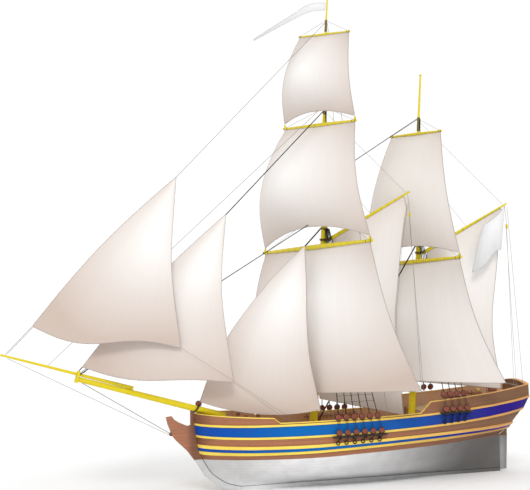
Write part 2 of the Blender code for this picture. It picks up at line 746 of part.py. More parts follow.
def platform(name, lower, upper, z, size, shift, key="spar_yellow"):
    """Top or crosstrees: a board pierced by the head of one stick and the heel of the next."""
    centre = (STICKS[lower].axis(z) + STICKS[upper].axis(z)) / 2 - Vector((shift, 0.0, 0.0))
    shape = bmesh.new()
    bmesh.ops.create_cube(shape, size=1.0)
    bmesh.ops.scale(shape, vec=(size[0], size[1], PLATFORM_THICK), verts=shape.verts)
    bmesh.ops.translate(shape, vec=centre, verts=shape.verts)
    mesh = bpy.data.meshes.new(name)
    shape.to_mesh(mesh)
    shape.free()
    board = add_part(name, mesh, key)
    for stick_name in (lower, upper):
        stick = STICKS[stick_name]
        radius = stick.radius(z - PLATFORM_THICK / 2) + HOLE_CLEARANCE
        ends = (stick.axis(z - 0.5), stick.axis(z + 0.5))
        cut_hole(board, spar_mesh("hole", ends[0], ends[1], (radius, radius), MAST_SIDES, 0.0, True))
    return board


BOWSPRIT_SLOPE = (BOWSPRIT_END.z - BOWSPRIT_HEEL.z) / (BOWSPRIT_END.x - BOWSPRIT_HEEL.x)
STEEVE = atan(BOWSPRIT_SLOPE)
FLAT_SHARE = cos(pi / 12)


def bowsprit_at(x):
    """Centre and radius of the bowsprit at X."""
    f = (x - BOWSPRIT_HEEL.x) / (BOWSPRIT_END.x - BOWSPRIT_HEEL.x)
    radius = BOWSPRIT_RADII[0] + (BOWSPRIT_RADII[1] - BOWSPRIT_RADII[0]) * f
    return BOWSPRIT_HEEL.lerp(BOWSPRIT_END, f), radius


def under_bowsprit(x):
    """Height just under the bowsprit's flat at X."""
    centre, radius = bowsprit_at(x)
    return centre.z - (radius * FLAT_SHARE + SPAR_GAP) / cos(STEEVE)


def bowsprit_cap_centre(along):
    """Point of the bowsprit's axis in the middle of its cap."""
    return BOWSPRIT_END - along * (CAP_THICK / 2 + 0.03)


def head_gear():
    """Bowsprit, jibboom above it and the cap that joins them; gives the jibboom's two ends."""
    bowsprit = spar_mesh("bowsprit", BOWSPRIT_HEEL, BOWSPRIT_END, BOWSPRIT_RADII)
    add_part("bowsprit", bowsprit, "spar_yellow", 35)
    under, radius = bowsprit_at(JIBBOOM_HEEL_X)
    along = (BOWSPRIT_END - BOWSPRIT_HEEL).normalized()
    up = Vector((-along.z, 0.0, along.x))
    heel = under + up * ((radius + JIBBOOM_RADII[0]) * FLAT_SHARE + SPAR_GAP)
    tip = heel + along * ((JIBBOOM_TIP_X - heel.x) / along.x)
    add_part("jibboom", spar_mesh("jibboom", heel, tip, JIBBOOM_RADII), "spar_yellow", 35)
    cap = bowsprit_cap_centre(along)
    corners = []
    for high in CAP_RANGE:
        for back, side in ((-1, -1), (1, -1), (1, 1), (-1, 1)):
            corners.append(cap + along * back * CAP_THICK / 2 + up * high + Vector((0.0, side * 0.24, 0.0)))
    board = add_part("bowsprit_cap", box_mesh("bowsprit_cap", corners), "spar_yellow")
    cut_hole(board, spar_mesh("hole", *grown(BOWSPRIT_HEEL, BOWSPRIT_END, BOWSPRIT_RADII, along)))
    cut_hole(board, spar_mesh("hole", *grown(heel, tip, JIBBOOM_RADII, along)))
    return heel, tip


def grown(start, end, radii, along):
    """The same spar a little thicker and longer at its end, for cutting its hole."""
    taper = (radii[1] - radii[0]) / (end - start).length
    return (start, end + along * 0.2, (radii[0] + HOLE_CLEARANCE, radii[1] + HOLE_CLEARANCE + taper * 0.2))


def truss_reach(row):
    """Space between the mast and a yard, wide on the lower yards, which clear the shrouds."""
    return TRUSS_REACH if "lower" in row[0] else TRUSS_REACH * 0.4


def yard_frame(row):
    """Centre and direction, towards port, of a yard."""
    _, stick_name, z, _, _, radius, cant = row
    stick = STICKS[stick_name]
    forward = stick.radius(z) + radius + truss_reach(row)
    centre = stick.axis(z) + stick.forward() * forward
    tilt = radians(cant)
    along = Vector((-sin(BRACE) * cos(tilt), cos(BRACE) * cos(tilt), sin(tilt)))
    return centre, along


YARD_END_SHARE = 0.55
YARD_FRAMES = {row[0]: yard_frame(row) for row in YARDS}
YARD_ROWS = {row[0]: row for row in YARDS}


def yard(row):
    """A yard: thickest at the slings and tapering to both arms, its origin on the mast's axis."""
    name, stick_name, z, starboard_arm, port_arm, radius, _ = row
    centre, along = YARD_FRAMES[name]
    start = centre - along * starboard_arm
    end = centre + along * port_arm
    middle = starboard_arm / (starboard_arm + port_arm)
    stops = [(0.0, radius * YARD_END_SHARE), (middle, radius), (1.0, radius * YARD_END_SHARE)]
    stick = STICKS[stick_name]
    mast_side = stick.axis(z) + stick.forward() * (stick.fore_face(z) + TRUSS_GAP)
    truss = spar_mesh("truss", mast_side, centre, (min(TRUSS_RADIUS, radius * 0.6),) * 2, 8)
    part = union(name, [spar_mesh(name, start, end, stops, 10), truss], "spar_yellow")
    hinge_at(part, stick.axis(z))
    return part


def hinge_at(part, point):
    """Puts a part's origin at a point of its joint's axis without moving its shape."""
    part.data.transform(Matrix.Translation(-point))
    part.location = point


def yard_radius(row, s):
    """Radius of a yard at s metres from its centre, positive to port."""
    arm = row[4] if s > 0 else row[3]
    return row[5] * (1 - (1 - YARD_END_SHARE) * min(1.0, abs(s) / arm))


def under_yard(name, s):
    """Point just under a yard at s metres from its centre."""
    row = YARD_ROWS[name]
    centre, along = YARD_FRAMES[name]
    below = (Vector((0, 0, -1)) + along * along.z).normalized()
    return centre + along * s + below * (yard_radius(row, s) + SAIL_GAP)


def sail_part(name, grid, pivot, thick=SAIL_THICK, key="sailcloth"):
    """Cloth with a real thickness made from a grid of points, rows from the head down."""
    columns = len(grid[0])
    points = [p - pivot for row in grid for p in row]
    faces = []
    for j in range(len(grid) - 1):
        for i in range(columns - 1):
            a = j * columns + i
            faces.append((a, a + 1, a + 1 + columns, a + columns))
    mesh = bpy.data.meshes.new(name)
    mesh.from_pydata([tuple(p) for p in points], [], faces)
    part = add_part(name, mesh, key, 60)
    part.location = pivot
    wall = part.modifiers.new("cloth", "SOLIDIFY")
    wall.thickness = thick
    wall.offset = 0.0
    wall.use_even_offset = True
    return part


def world_mesh(part):
    """Points, faces and edges of a part as its modifiers leave it, where it stands."""
    bpy.context.view_layer.update()
    graph = bpy.context.evaluated_depsgraph_get()
    mesh = bpy.data.meshes.new_from_object(part.evaluated_get(graph))
    points = [part.matrix_world @ vertex.co for vertex in mesh.vertices]
    faces = [tuple(face.vertices) for face in mesh.polygons]
    edges = [tuple(edge.vertices) for edge in mesh.edges]
    bpy.data.meshes.remove(mesh)
    return points, faces, edges


def seat(part, carrier_name, direction):
    """Moves a part in a direction until it lies just off the piece that carries it."""
    points, faces, edges = world_mesh(part)
    carrier, carrier_faces, _ = world_mesh(bpy.data.objects[carrier_name])
    tree = BVHTree.FromPolygons(carrier, carrier_faces)
    own = BVHTree.FromPolygons(points, faces)
    reach = []
    for a, b in edges:
        for k in range(SEAT_SAMPLES + 1):
            spot = points[a].lerp(points[b], k / SEAT_SAMPLES)
            reach.append(tree.ray_cast(spot, direction, SEAT_REACH)[3])
    for spot in carrier:
        reach.append(own.ray_cast(spot, -direction, SEAT_REACH)[3])
    shift = min(r for r in reach if r is not None) - SEAT_GAP
    part.data.transform(Matrix.Translation(direction * shift))


def forward_of(chord):
    """Horizontal direction forward of a chord that runs from starboard to port."""
    return Vector((chord.y, -chord.x, 0.0)).normalized()


def head_rows(down):
    """Heights down a sail, from 0 to 1, with a narrow band along the head."""
    return [0.0, HEAD_BAND] + [j / down for j in range(1, down + 1)]


def square_sail(row):
    """A square sail bent to its yard and filled from aft."""
    name, yard_name, lower_name, bulge_starboard, bulge_port, belly, foot_belly, foot_rise = row
    _, stick_name, z, starboard_arm, port_arm, _, _ = YARD_ROWS[yard_name]
    heads = (-starboard_arm * 0.965, port_arm * 0.965)
    if lower_name:
        lower = YARD_ROWS[lower_name]
        centre, along = YARD_FRAMES[lower_name]
        lift = Vector((0.0, 0.0, 0.32))
        clews = (centre - along * lower[3] * 0.965 + lift, centre + along * lower[4] * 0.965 + lift)
    else:
        clews = COURSE_CLEWS[name]
    starboard_head_z = under_yard(yard_name, heads[0]).z
    across, down = SQUARE_GRID
    grid = []
    for j, v in enumerate(head_rows(down)):
        starboard = under_yard(yard_name, heads[0]).lerp(clews[0], v)
        port = under_yard(yard_name, heads[1]).lerp(clews[1], v)
        starboard.x += bulge_starboard * sin(pi * v)
        port.x += bulge_port * sin(pi * v)
        depth = foot_belly * v * v + (belly - foot_belly * 0.25) * sin(pi * v)
        forward = forward_of(port - starboard)
        line = []
        for i in range(across + 1):
            w = i / across
            if j < 2:
                point = under_yard(yard_name, abs(2 * w - 1) * heads[0 if w < 0.5 else 1])
                point.z -= v * (starboard_head_z - clews[0].z)
            else:
                point = starboard.lerp(port, w) + forward * depth * 4 * w * (1 - w)
                point.z += foot_rise * v ** 3 * 4 * w * (1 - w)
            line.append(point)
        grid.append(line)
    return sail_part(name, grid, STICKS[stick_name].axis(z))


def gaff_line(row):
    """Jaw point and peak of a gaff."""
    _, stick_name, jaw_z, peak_x, peak_y, peak_z, radius = row
    stick = STICKS[stick_name]
    axis = stick.axis(jaw_z)
    peak = Vector((peak_x, peak_y, peak_z))
    flat = Vector((peak.x - axis.x, peak.y, 0.0)).normalized()
    slope = atan((peak_z - jaw_z) / (peak - axis).to_2d().length)
    upper = axis.z + radius * cos(slope)
    leaning = (stick.axis(upper) - axis).dot(flat)
    return axis + flat * (stick.radius(upper) + leaning + radius * sin(slope) + JAW_GAP), peak


def gaff(row):
    """A gaff with its jaws against the mast, its origin on the mast's axis."""
    name, stick_name, jaw_z, _, _, _, radius = row
    jaw, peak = gaff_line(row)
    part = add_part(name, spar_mesh(name, jaw, peak, (radius, radius * 0.5), 10), "spar_yellow", 40)
    hinge_at(part, STICKS[stick_name].axis(jaw_z))
    return part


def under_gaff(row, along):
    """Point just under a gaff, at a share of its length from the jaws."""
    jaw, peak = gaff_line(row)
    slant = (peak - jaw).normalized()
    below = Vector((0.0, 0.0, -1.0))
    down = (below - slant * below.dot(slant)).normalized()
    return jaw.lerp(peak, along) + down * (row[6] * (1 - 0.5 * along) + SAIL_GAP)


def gaff_sail(name, spec):
    """A sail hung from a gaff, with its luff along the mast."""
    row = next(item for item in GAFFS if item[0] == spec["gaff"])
    _, stick_name, jaw_z, _, _, _, _ = row
    stick = STICKS[stick_name]
    jaw, peak = gaff_line(row)
    flat = Vector((peak.x - jaw.x, peak.y - jaw.y, 0.0)).normalized()
    leech = [peak] + [Vector(p) for p in spec["leech"]]
    tack_out = (leech[-1] - stick.axis(leech[-1].z))
    tack_out.z = 0.0
    tack_out.normalize()
    across, down = GAFF_GRID
    below = Vector((0.0, 0.0, -1.0))
    grid = []
    for j, v in enumerate(head_rows(down)):
        luff_z = jaw_z - 0.34 + (spec["tack_z"] - jaw_z + 0.34) * v
        out = flat.lerp(tack_out, v).normalized()
        luff = stick.axis(luff_z) + out * (stick.radius(luff_z) + 0.06)
        edge = curve_point(leech, v)
        side = Vector((-(edge - luff).y, (edge - luff).x, 0.0)).normalized()
        if side.y < 0:
            side = -side
        line = []
        for i in range(across + 1):
            w = i / across
            if j < 2:
                point = under_gaff(row, 0.05 + 0.88 * w) + below * v * jaw_z
            else:
                point = luff.lerp(edge, w) + side * spec["belly"] * sin(pi * v) * 4 * w * (1 - w)
            line.append(point)
        grid.append(line)
    return sail_part(name, grid, stick.axis(jaw_z))


def on_stay(points, z):
    """Point at height z of a stay that runs down through its points."""
    k = max(i for i in range(len(points) - 1) if points[i].z >= z)
    f = (points[k].z - z) / (points[k].z - points[k + 1].z)
    return points[k].lerp(points[k + 1], f)


def luff_rows(spec):
    """Heights of a headsail's rows along its stay, from the head down."""
    high, low = spec["luff"]
    return [high + (low - high) * j / GAFF_GRID[1] for j in range(GAFF_GRID[1] + 1)]


def headsail(name, spec):
    """A three-cornered sail hanked to its stay."""
    stay, radius = STAYS[spec["stay"]]
    across, down = GAFF_GRID
    heights = luff_rows(spec)
    head = on_stay(stay, heights[0]) + Vector((0.12, 0.12, -0.22))
    leech = [head] + [Vector(p) for p in spec["leech"]]
    run = (on_stay(stay, heights[-1]) - on_stay(stay, heights[0])).normalized()
    away = Vector(spec["leech"][-1]) - on_stay(stay, heights[-1])
    away = (away - run * away.dot(run)).normalized()
    grid = []
    for j, z in enumerate(heights):
        v = j / down
        edge = curve_point(leech, v)
        luff = on_stay(stay, z) + away * (radius + SAIL_THICK)
        line = []
        for i in range(across + 1):
            w = i / across
            point = luff.lerp(edge, w)
            point.y += spec["belly"] * sin(pi * v ** 0.8) * 4 * w * (1 - w) * (1 - 0.4 * w)
            point.y += 0.5 * spec["belly"] * v * v * 4 * w * (1 - w)
            point.z -= spec["foot_drop"] * v ** 4 * 4 * w * (1 - w)
            line.append(point)
        grid.append(line)
    sail = sail_part(name, grid, Vector((0.0, 0.0, 0.0)))
    seat(sail, spec["stay"], -away)


def flag(name, edges, columns, pivot):
    """A flag between an upper and a lower edge."""
    grid = []
    for v in (0.0, 1 / 3, 2 / 3, 1.0):
        line = []
        for i in range(columns + 1):
            w = i / columns
            line.append(curve_point(edges[0], w).lerp(curve_point(edges[1], w), v))
        grid.append(line)
    return sail_part(name, grid, pivot, FLAG_THICK, "bunting")


# Standing rigging

def rope(name, points, radius=ROPE_RADIUS, key="tarred_rope"):
    """A taut rope through its points."""
    curve = bpy.data.curves.new(name, "CURVE")
    curve.dimensions = "3D"
    curve.bevel_depth = radius
    curve.bevel_resolution = 6
    curve.use_fill_caps = True
    line = curve.splines.new("POLY")
    line.points.add(len(points) - 1)
    for spot, point in zip(line.points, points):
        spot.co = (*point, 1.0)
    curve.materials.append(material(key, name))
    part = bpy.data.objects.new(name, curve)
    SHIP.objects.link(part)
    return part


def bar_mesh(start, end, radius, sides=6):
    """A straight round bar between two points."""
    return spar_mesh("bar", Vector(start), Vector(end), (radius, radius), sides)


def union(name, meshes, key):
    """Joins overlapping meshes into one solid."""
    base = add_part(name, meshes[0], key)
    helpers = []
    for index, mesh in enumerate(meshes[1:]):
        helper = bpy.data.objects.new(name + "_piece_" + str(index), mesh)
        CUTTERS.objects.link(helper)
        helpers.append(helper)
        join = base.modifiers.new("join", "BOOLEAN")
        join.operation = "UNION"
        join.object = helper
    apply_modifiers(base)
    for helper in helpers:
        bpy.data.objects.remove(helper)
    return base


def box_mesh(name, corners):
    """A box from its eight corners: four below and four above, both in the same order."""
    faces = [(0, 1, 2, 3), (4, 5, 6, 7), (0, 1, 5, 4), (1, 2, 6, 5), (2, 3, 7, 6), (3, 0, 4, 7)]
    return mesh_from(name, corners, faces)


def hull_side():
    """Search tree of the planking and strakes, to fit the channels against."""
    points = []
    faces = []
    for name in ["hull_topsides", "bulwark_port"] + [row[0] for row in STRAKES]:
        mesh = bpy.data.objects[name].data
        first = len(points)
        points += [vertex.co.copy() for vertex in mesh.vertices]
        faces += [[first + v for v in face.vertices] for face in mesh.polygons]
    return BVHTree.FromPolygons(points, faces)


def side_y(tree, x, z):
    """How far out the port side stands at X and Z."""
    spot = tree.ray_cast(Vector((x, 9.0, z)), Vector((0.0, -1.0, 0.0)))[0]
    return spot.y if spot else 0.0


def outer_line(tree, heights, x_aft, x_fore):
    """Straight line in plan that just clears the hull's side between two X positions."""
    cloud = []
    for k in range(121):
        x = x_aft + (x_fore - x_aft) * k / 120
        cloud.append((x, max(side_y(tree, x, z) for z in heights)))
    slope = (cloud[-1][1] - cloud[0][1]) / (x_fore - x_aft)
    lift = max(y - slope * (x - x_aft) for x, y in cloud)
    return lambda x: lift + CHANNEL_GAP + slope * (x - x_aft)


def shroud_set(row, side, tree):
    """Channel, chains, deadeyes and shrouds of one side of one mast, as one solid."""
    mast, first_x, last_x, count, channel_z, head_z, ring_row = row
    stick = STICKS[mast + "_lower"]
    fore, aft = first_x + 0.38, last_x - 0.34
    low, high = channel_z - CHANNEL_THICK / 2, channel_z + CHANNEL_THICK / 2
    edge = outer_line(tree, [low + CHANNEL_THICK * k / 6 for k in range(7)], aft, fore)
    plan = [(aft, edge(aft)), (fore, edge(fore)),
            (fore - 0.12, edge(fore) + CHANNEL_DEPTH), (aft + 0.12, edge(aft) + CHANNEL_DEPTH)]
    corners = [(x, y, low) for x, y in plan] + [(x, y, high) for x, y in plan]
    pieces = [box_mesh("channel", corners)]
    head_axis = stick.axis(head_z)
    reach = stick.radius(head_z - 0.1) + SPAR_GAP
    block = [(head_axis.x - 0.32, reach), (head_axis.x + 0.10, reach),
             (head_axis.x + 0.10, reach + 0.14), (head_axis.x - 0.32, reach + 0.14)]
    pieces.append(box_mesh("seizing", [(x, y, head_z - 0.10) for x, y in block]
                           + [(x, y, head_z + 0.10) for x, y in block]))
    for k in range(count):
        f = k / (count - 1)
        foot_x = first_x + (last_x - first_x) * f
        foot = Vector((foot_x, edge(foot_x) + CHANNEL_DEPTH - 0.13, channel_z))
        head = Vector((head_axis.x + 0.02 - 0.26 * f, reach + 0.07, head_z))
        lean = (head - foot).normalized()
        lower = foot + lean * LOWER_DEADEYE_RISE
        upper = foot + lean * UPPER_DEADEYE_RISE
        face = Vector((0.0, 1.0, 0.0)) - lean * lean.y
        half = face.normalized() * (DEADEYE_THICK / 2)
        for spot in (lower, upper):
            pieces.append(bar_mesh(spot - half, spot + half, DEADEYE_RADIUS, 10))
        pieces.append(bar_mesh(foot - lean * 0.02, head, SHROUD_RADIUS))
        ring_x = foot_x + 0.12 * (f - 0.5)
        ring_z = row_z(ring_row, ring_x) + RING_RISE[ring_row]
        rim = [(cos(pi * n / 8), sin(pi * n / 8)) for n in range(16)]
        ring_y = max(side_y(tree, ring_x + RING_RADIUS * share * a, ring_z + RING_RADIUS * share * b)
                     for a, b in rim for share in (0.0, 0.5, 1.0)) + CHANNEL_GAP
        ring = Vector((ring_x, ring_y + 0.04, ring_z))
        pieces.append(bar_mesh(foot + lean * 0.02, ring, 0.04))
        pieces.append(bar_mesh(ring - Vector((0, 0.04, 0)), ring + Vector((0, 0.05, 0)), RING_RADIUS, 8))
    if side < 0:
        for mesh in pieces:
            mesh.transform(Matrix.Scale(-1.0, 4, Vector((0.0, 1.0, 0.0))))
            mesh.flip_normals()
    return union(mast + ("_shrouds_port" if side > 0 else "_shrouds_starboard"), pieces, "tarred_rope")


def end_on(centre, outward, surface, far, radius):
    """End of a rope that leads to far and stops just off a surface around centre."""
    spot = centre
    for _ in range(4):
        lead = (Vector(far) - spot).normalized()
        spot = centre + outward * (surface + radius * sin(lead.angle(outward)) + ROPE_GAP)
    return spot


STAYS = {}

# The main stay bows forward between the masthead and the bowsprit. Columns: height, X
MAIN_STAY_BOW = ((3.40, 11.74), (5.10, 10.84), (7.44, 9.40), (10.02, 7.35), (12.12, 5.60), (13.74, 4.02))


def stays(jibboom):
    """The main stays on the centreline."""
    heel, tip = jibboom
    along = (tip - heel).normalized()
    up = Vector((-along.z, 0.0, along.x))
    main, top, gallant = (STICKS[key] for key in ("main_lower", "main_topmast", "main_topgallant"))
    mizzen = STICKS["mizzen_lower"]

    def stay(name, stick, z, foot, outward, surface, radius, middle=()):
        first = middle[0] if middle else foot
        head = end_on(stick.axis(z), stick.forward(), stick.fore_face(z), first, radius)
        points = [head, *middle]
        points.append(end_on(foot, outward, surface, points[-1], radius))
        rope(name, points, radius)
        STAYS[name] = (points, radius)

    collar, collar_radius = bowsprit_at(MAIN_STAY_FOOT_X)
    bow = [Vector((smooth_at(z, MAIN_STAY_BOW), 0.0, z)) for z in luff_rows(HEADSAILS["fore_staysail"])]
    stay("main_stay", main, 14.94, collar, up, collar_radius * FLAT_SHARE, 0.05, bow)
    stay("main_topmast_stay", top, 22.80, bowsprit_cap_centre(along), up, CAP_RANGE[1], ROPE_RADIUS)
    near_tip = tip - along * 0.3
    stay("main_topgallant_stay", gallant, 28.80, near_tip, up, JIBBOOM_RADII[1] * FLAT_SHARE + 0.002, 0.02)
    stay("mizzen_stay", mizzen, 13.60, main.axis(2.05), -main.forward(), main.fore_face(2.02), 0.05)
    lower_end, lower_radius = bowsprit_at(19.35)
    knee = Vector((13.531, 0.0, 1.75))
    off_knee = Vector((0.937, 0.0, -0.348))
    head = end_on(lower_end, -up, lower_radius * FLAT_SHARE, knee, 0.03)
    rope("bobstay", [end_on(knee, off_knee, 0.0, head, 0.03), head], 0.03)


def deck_box(name, centre_x, length, width, row, height, key):
    """A coaming, bitts or companion that stands on a deck."""
    ends = (centre_x - length / 2, centre_x + length / 2)
    half = width / 2
    base = max(deck_height(ends[0], row), deck_height(ends[1], row)) + (0 if row == "deck" else STRAKE_GAP)
    low = [(ends[0], -half, base), (ends[1], -half, base), (ends[1], half, base), (ends[0], half, base)]
    high = [(x, y, base + height) for x, y, _ in low]
    return add_part(name, box_mesh(name, low + high), key)


def build():
    """Builds the whole ship."""
    hull_block("hull_bottom", ROW_NAMES[:6], "bottom_grey")
    hull_block("hull_topsides", ROW_NAMES[5:11], "oak")
    for row in STRAKES:
        strake(*row)
    bulwark("bulwark_port", 1)
    bulwark("bulwark_starboard", -1)
    deck_block("forecastle_deck", FORECASTLE_AFT_T, 0.968, "deck_plank")
    deck_block("quarterdeck", 0.0, QUARTERDECK_FRONT_T, "deck_plank")
    transom()
    keel_and_stem()
    rudder()
    deck_box("main_hatch", -0.55, 2.0, 1.6, "deck", 0.36, "oak")
    deck_box("companion", -6.6, 1.3, 1.1, "rail_low", 0.62, "oak")
    bitts_x = BOWSPRIT_HEEL.x + 0.16
    bitts_top = under_bowsprit(bitts_x - 0.10)
    bitts_base = max(deck_height(bitts_x - 0.10, "rail_low"), deck_height(bitts_x + 0.10, "rail_low"))
    deck_box("bowsprit_bitts", bitts_x, 0.20, 0.62, "rail_low", bitts_top - bitts_base - 2 * STRAKE_GAP, "oak")
    masts()
    platform("main_top", "main_lower", "main_topmast", MAIN_TOP_Z, (1.28, 1.7), 0.18)
    platform("mizzen_top", "mizzen_lower", "mizzen_topmast", MIZZEN_TOP_Z, (1.10, 1.4), 0.12)
    platform("main_crosstrees", "main_topmast", "main_topgallant", MAIN_CROSSTREES_Z, (0.75, 0.5), 0.0)
    jibboom = head_gear()
    for row in YARDS:
        yard(row)
    for row in SQUARE_SAILS:
        square_sail(row)
    for row in GAFFS:
        gaff(row)
    for name, spec in GAFF_SAILS.items():
        gaff_sail(name, spec)
    stays(jibboom)
    for name, spec in HEADSAILS.items():
        headsail(name, spec)
    gallant = STICKS["main_topgallant"]
    hoist = [gallant.axis(z) + gallant.forward() * (gallant.radius(z) + 0.03) for z in PENNANT_HOIST]
    pennant = flag("pennant", [[hoist[k], *PENNANT_EDGES[k]] for k in (0, 1)], 8, Vector((0.0, 0.0, 0.0)))
    seat(pennant, "main_topgallant_mast", -gallant.forward())
    corner = under_gaff(GAFFS[1], ENSIGN_ALONG_GAFF) - Vector((0.0, 0.0, 0.03))
    ensign_edges = [[corner, *ENSIGN_EDGES[0]], ENSIGN_EDGES[1]]
    ensign = flag("ensign", ensign_edges, 6, STICKS["mizzen_lower"].axis(GAFFS[1][2]))
    seat(ensign, "mizzen_gaff", Vector((0.0, 0.0, 1.0)))
    tree = hull_side()
    for row in SHROUD_SETS:
        shroud_set(row, 1, tree)
        shroud_set(row, -1, tree)


build()
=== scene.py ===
"""Dresses a two-masted sailing ship: paint, planking, set sails, rope, blocks and deck fittings."""

import json
from math import cos, hypot, pi, radians, sin

import bmesh
import bpy
from bpy.props import FloatProperty, FloatVectorProperty, IntProperty, PointerProperty
from mathutils import Matrix, Vector
from mathutils.bvhtree import BVHTree
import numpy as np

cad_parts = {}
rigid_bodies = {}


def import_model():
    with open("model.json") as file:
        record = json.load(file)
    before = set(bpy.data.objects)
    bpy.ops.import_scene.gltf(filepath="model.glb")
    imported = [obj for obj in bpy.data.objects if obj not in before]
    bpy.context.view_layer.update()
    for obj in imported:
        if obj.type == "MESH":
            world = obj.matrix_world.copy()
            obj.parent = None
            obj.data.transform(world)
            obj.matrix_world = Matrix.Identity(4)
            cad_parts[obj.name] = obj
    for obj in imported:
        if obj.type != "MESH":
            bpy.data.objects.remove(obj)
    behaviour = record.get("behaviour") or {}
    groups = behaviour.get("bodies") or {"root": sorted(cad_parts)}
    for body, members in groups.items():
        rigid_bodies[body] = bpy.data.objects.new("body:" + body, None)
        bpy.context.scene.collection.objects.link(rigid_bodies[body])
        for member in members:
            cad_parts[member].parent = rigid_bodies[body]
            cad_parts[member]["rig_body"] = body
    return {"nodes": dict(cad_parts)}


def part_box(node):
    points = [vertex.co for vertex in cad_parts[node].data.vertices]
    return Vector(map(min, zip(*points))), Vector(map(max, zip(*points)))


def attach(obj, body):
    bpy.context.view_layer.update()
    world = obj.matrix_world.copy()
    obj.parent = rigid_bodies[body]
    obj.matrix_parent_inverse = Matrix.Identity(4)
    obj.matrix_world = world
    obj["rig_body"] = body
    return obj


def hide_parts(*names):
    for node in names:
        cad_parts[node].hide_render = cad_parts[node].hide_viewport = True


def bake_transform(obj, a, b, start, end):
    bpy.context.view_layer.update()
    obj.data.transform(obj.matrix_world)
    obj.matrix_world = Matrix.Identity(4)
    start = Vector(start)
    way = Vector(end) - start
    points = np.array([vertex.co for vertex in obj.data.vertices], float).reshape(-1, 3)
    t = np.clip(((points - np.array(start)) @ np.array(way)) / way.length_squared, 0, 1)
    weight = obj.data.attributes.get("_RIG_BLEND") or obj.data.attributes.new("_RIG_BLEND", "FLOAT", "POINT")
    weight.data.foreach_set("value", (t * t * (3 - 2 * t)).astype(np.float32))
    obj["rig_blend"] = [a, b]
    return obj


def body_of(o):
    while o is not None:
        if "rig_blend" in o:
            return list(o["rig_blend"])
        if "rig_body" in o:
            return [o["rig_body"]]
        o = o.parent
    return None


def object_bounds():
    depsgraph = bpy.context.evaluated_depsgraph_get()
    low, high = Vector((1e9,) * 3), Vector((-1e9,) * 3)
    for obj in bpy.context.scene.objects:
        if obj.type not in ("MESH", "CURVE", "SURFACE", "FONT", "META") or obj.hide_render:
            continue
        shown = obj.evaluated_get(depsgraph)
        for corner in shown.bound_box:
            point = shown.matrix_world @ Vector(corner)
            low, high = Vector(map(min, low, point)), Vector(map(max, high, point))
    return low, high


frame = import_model()
NODES = frame["nodes"]
CAD_BOX = [list(corner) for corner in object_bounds()]

bl_info = {
    "name": "Sailing Ship",
    "version": (1, 0, 0),
    "blender": (4, 5, 0),
    "location": "View3D > Sidebar > Ship",
    "description": "Dresses the packed sailing ship with paint, sails, rope and deck fittings",
    "category": "Object",
}

UP = Vector((0.0, 0.0, 1.0))
PORT = Vector((0.0, 1.0, 0.0))
FORE = Vector((1.0, 0.0, 0.0))
SIDES = ((1, "port"), (-1, "starboard"))

# Sticks. Columns: foot X at the main deck, rake, lowest height, highest height, radius there and there
MAST_FOOT_Z = 1.36
STICKS = {
    "main_lower": (3.84, 0.0945, 1.322, 16.6, 0.27, 0.20),
    "main_topmast": (4.28, 0.0945, 15.10, 24.1, 0.165, 0.11),
    "main_topgallant": (4.55, 0.0945, 22.92, 30.75, 0.095, 0.05),
    "mizzen_lower": (-3.22, 0.080, 1.478, 15.2, 0.24, 0.17),
    "mizzen_topmast": (-2.82, 0.080, 13.75, 25.3, 0.14, 0.06),
}

# Yards. Columns: centre, direction to port, starboard arm, port arm, radius, stick
YARDS = {
    "main_lower_yard": ((3.177, 0, 13.727), (-0.2753, 0.9601, 0.0488), 6.70, 6.50, 0.17, "main_lower"),
    "main_topsail_yard": ((2.628, 0, 21.937), (-0.2756, 0.9612, -0.0105), 4.50, 4.25, 0.12, "main_topmast"),
    "main_topgallant_yard": ((2.224, 0, 28.028), (-0.2752, 0.9598, -0.0558), 2.90, 3.20, 0.08, "main_topgallant"),
    "mizzen_lower_yard": ((-3.655, 0, 12.486), (-0.2753, 0.9601, 0.0488), 5.50, 5.40, 0.15, "mizzen_lower"),
    "mizzen_topsail_yard": ((-4.172, 0, 21.219), (-0.2756, 0.9613, 0.0), 2.80, 2.95, 0.10, "mizzen_topmast"),
}
ARM_SHARE = 0.55
CLEW_SHARE = 0.965
CLEW_LIFT = 0.32

# Square sails. Columns: yard, lower yard or clews, leech bulge to starboard and to port, belly at
# half height, belly at the foot, rise of the foot
SQUARE_SAILS = {
    "main_course": ("main_lower_yard", ((5.35, -6.00, 3.45), (-1.47, 6.60, 4.25)), 0.85, 0.42, 1.8, 3.0, 0.25),
    "main_topsail": ("main_topsail_yard", "main_lower_yard", 1.00, 0.42, 1.5, 0.45, 1.05),
    "main_topgallant_sail": ("main_topgallant_yard", "main_topsail_yard", 0.62, 0.22, 1.0, 0.30, 0.60),
    "mizzen_course": ("mizzen_lower_yard", ((-2.60, -5.20, 4.55), (-8.10, 5.00, 4.30)), 0.50, 0.45, 1.5, 3.0, 0.10),
    "mizzen_topsail": ("mizzen_topsail_yard", "mizzen_lower_yard", 0.50, 0.25, 1.0, 0.40, 0.75),
}

# Gaffs. Columns: stick, jaw height, jaw end, peak, radius at the jaws
GAFFS = {
    "main_gaff": ("main_lower", 14.15, (2.375, 0.120, 14.15), (-2.70, 2.50, 17.22), 0.13),
    "mizzen_gaff": ("mizzen_lower", 13.05, (-4.385, 0.089, 13.05), (-9.83, 2.20, 16.25), 0.12),
}

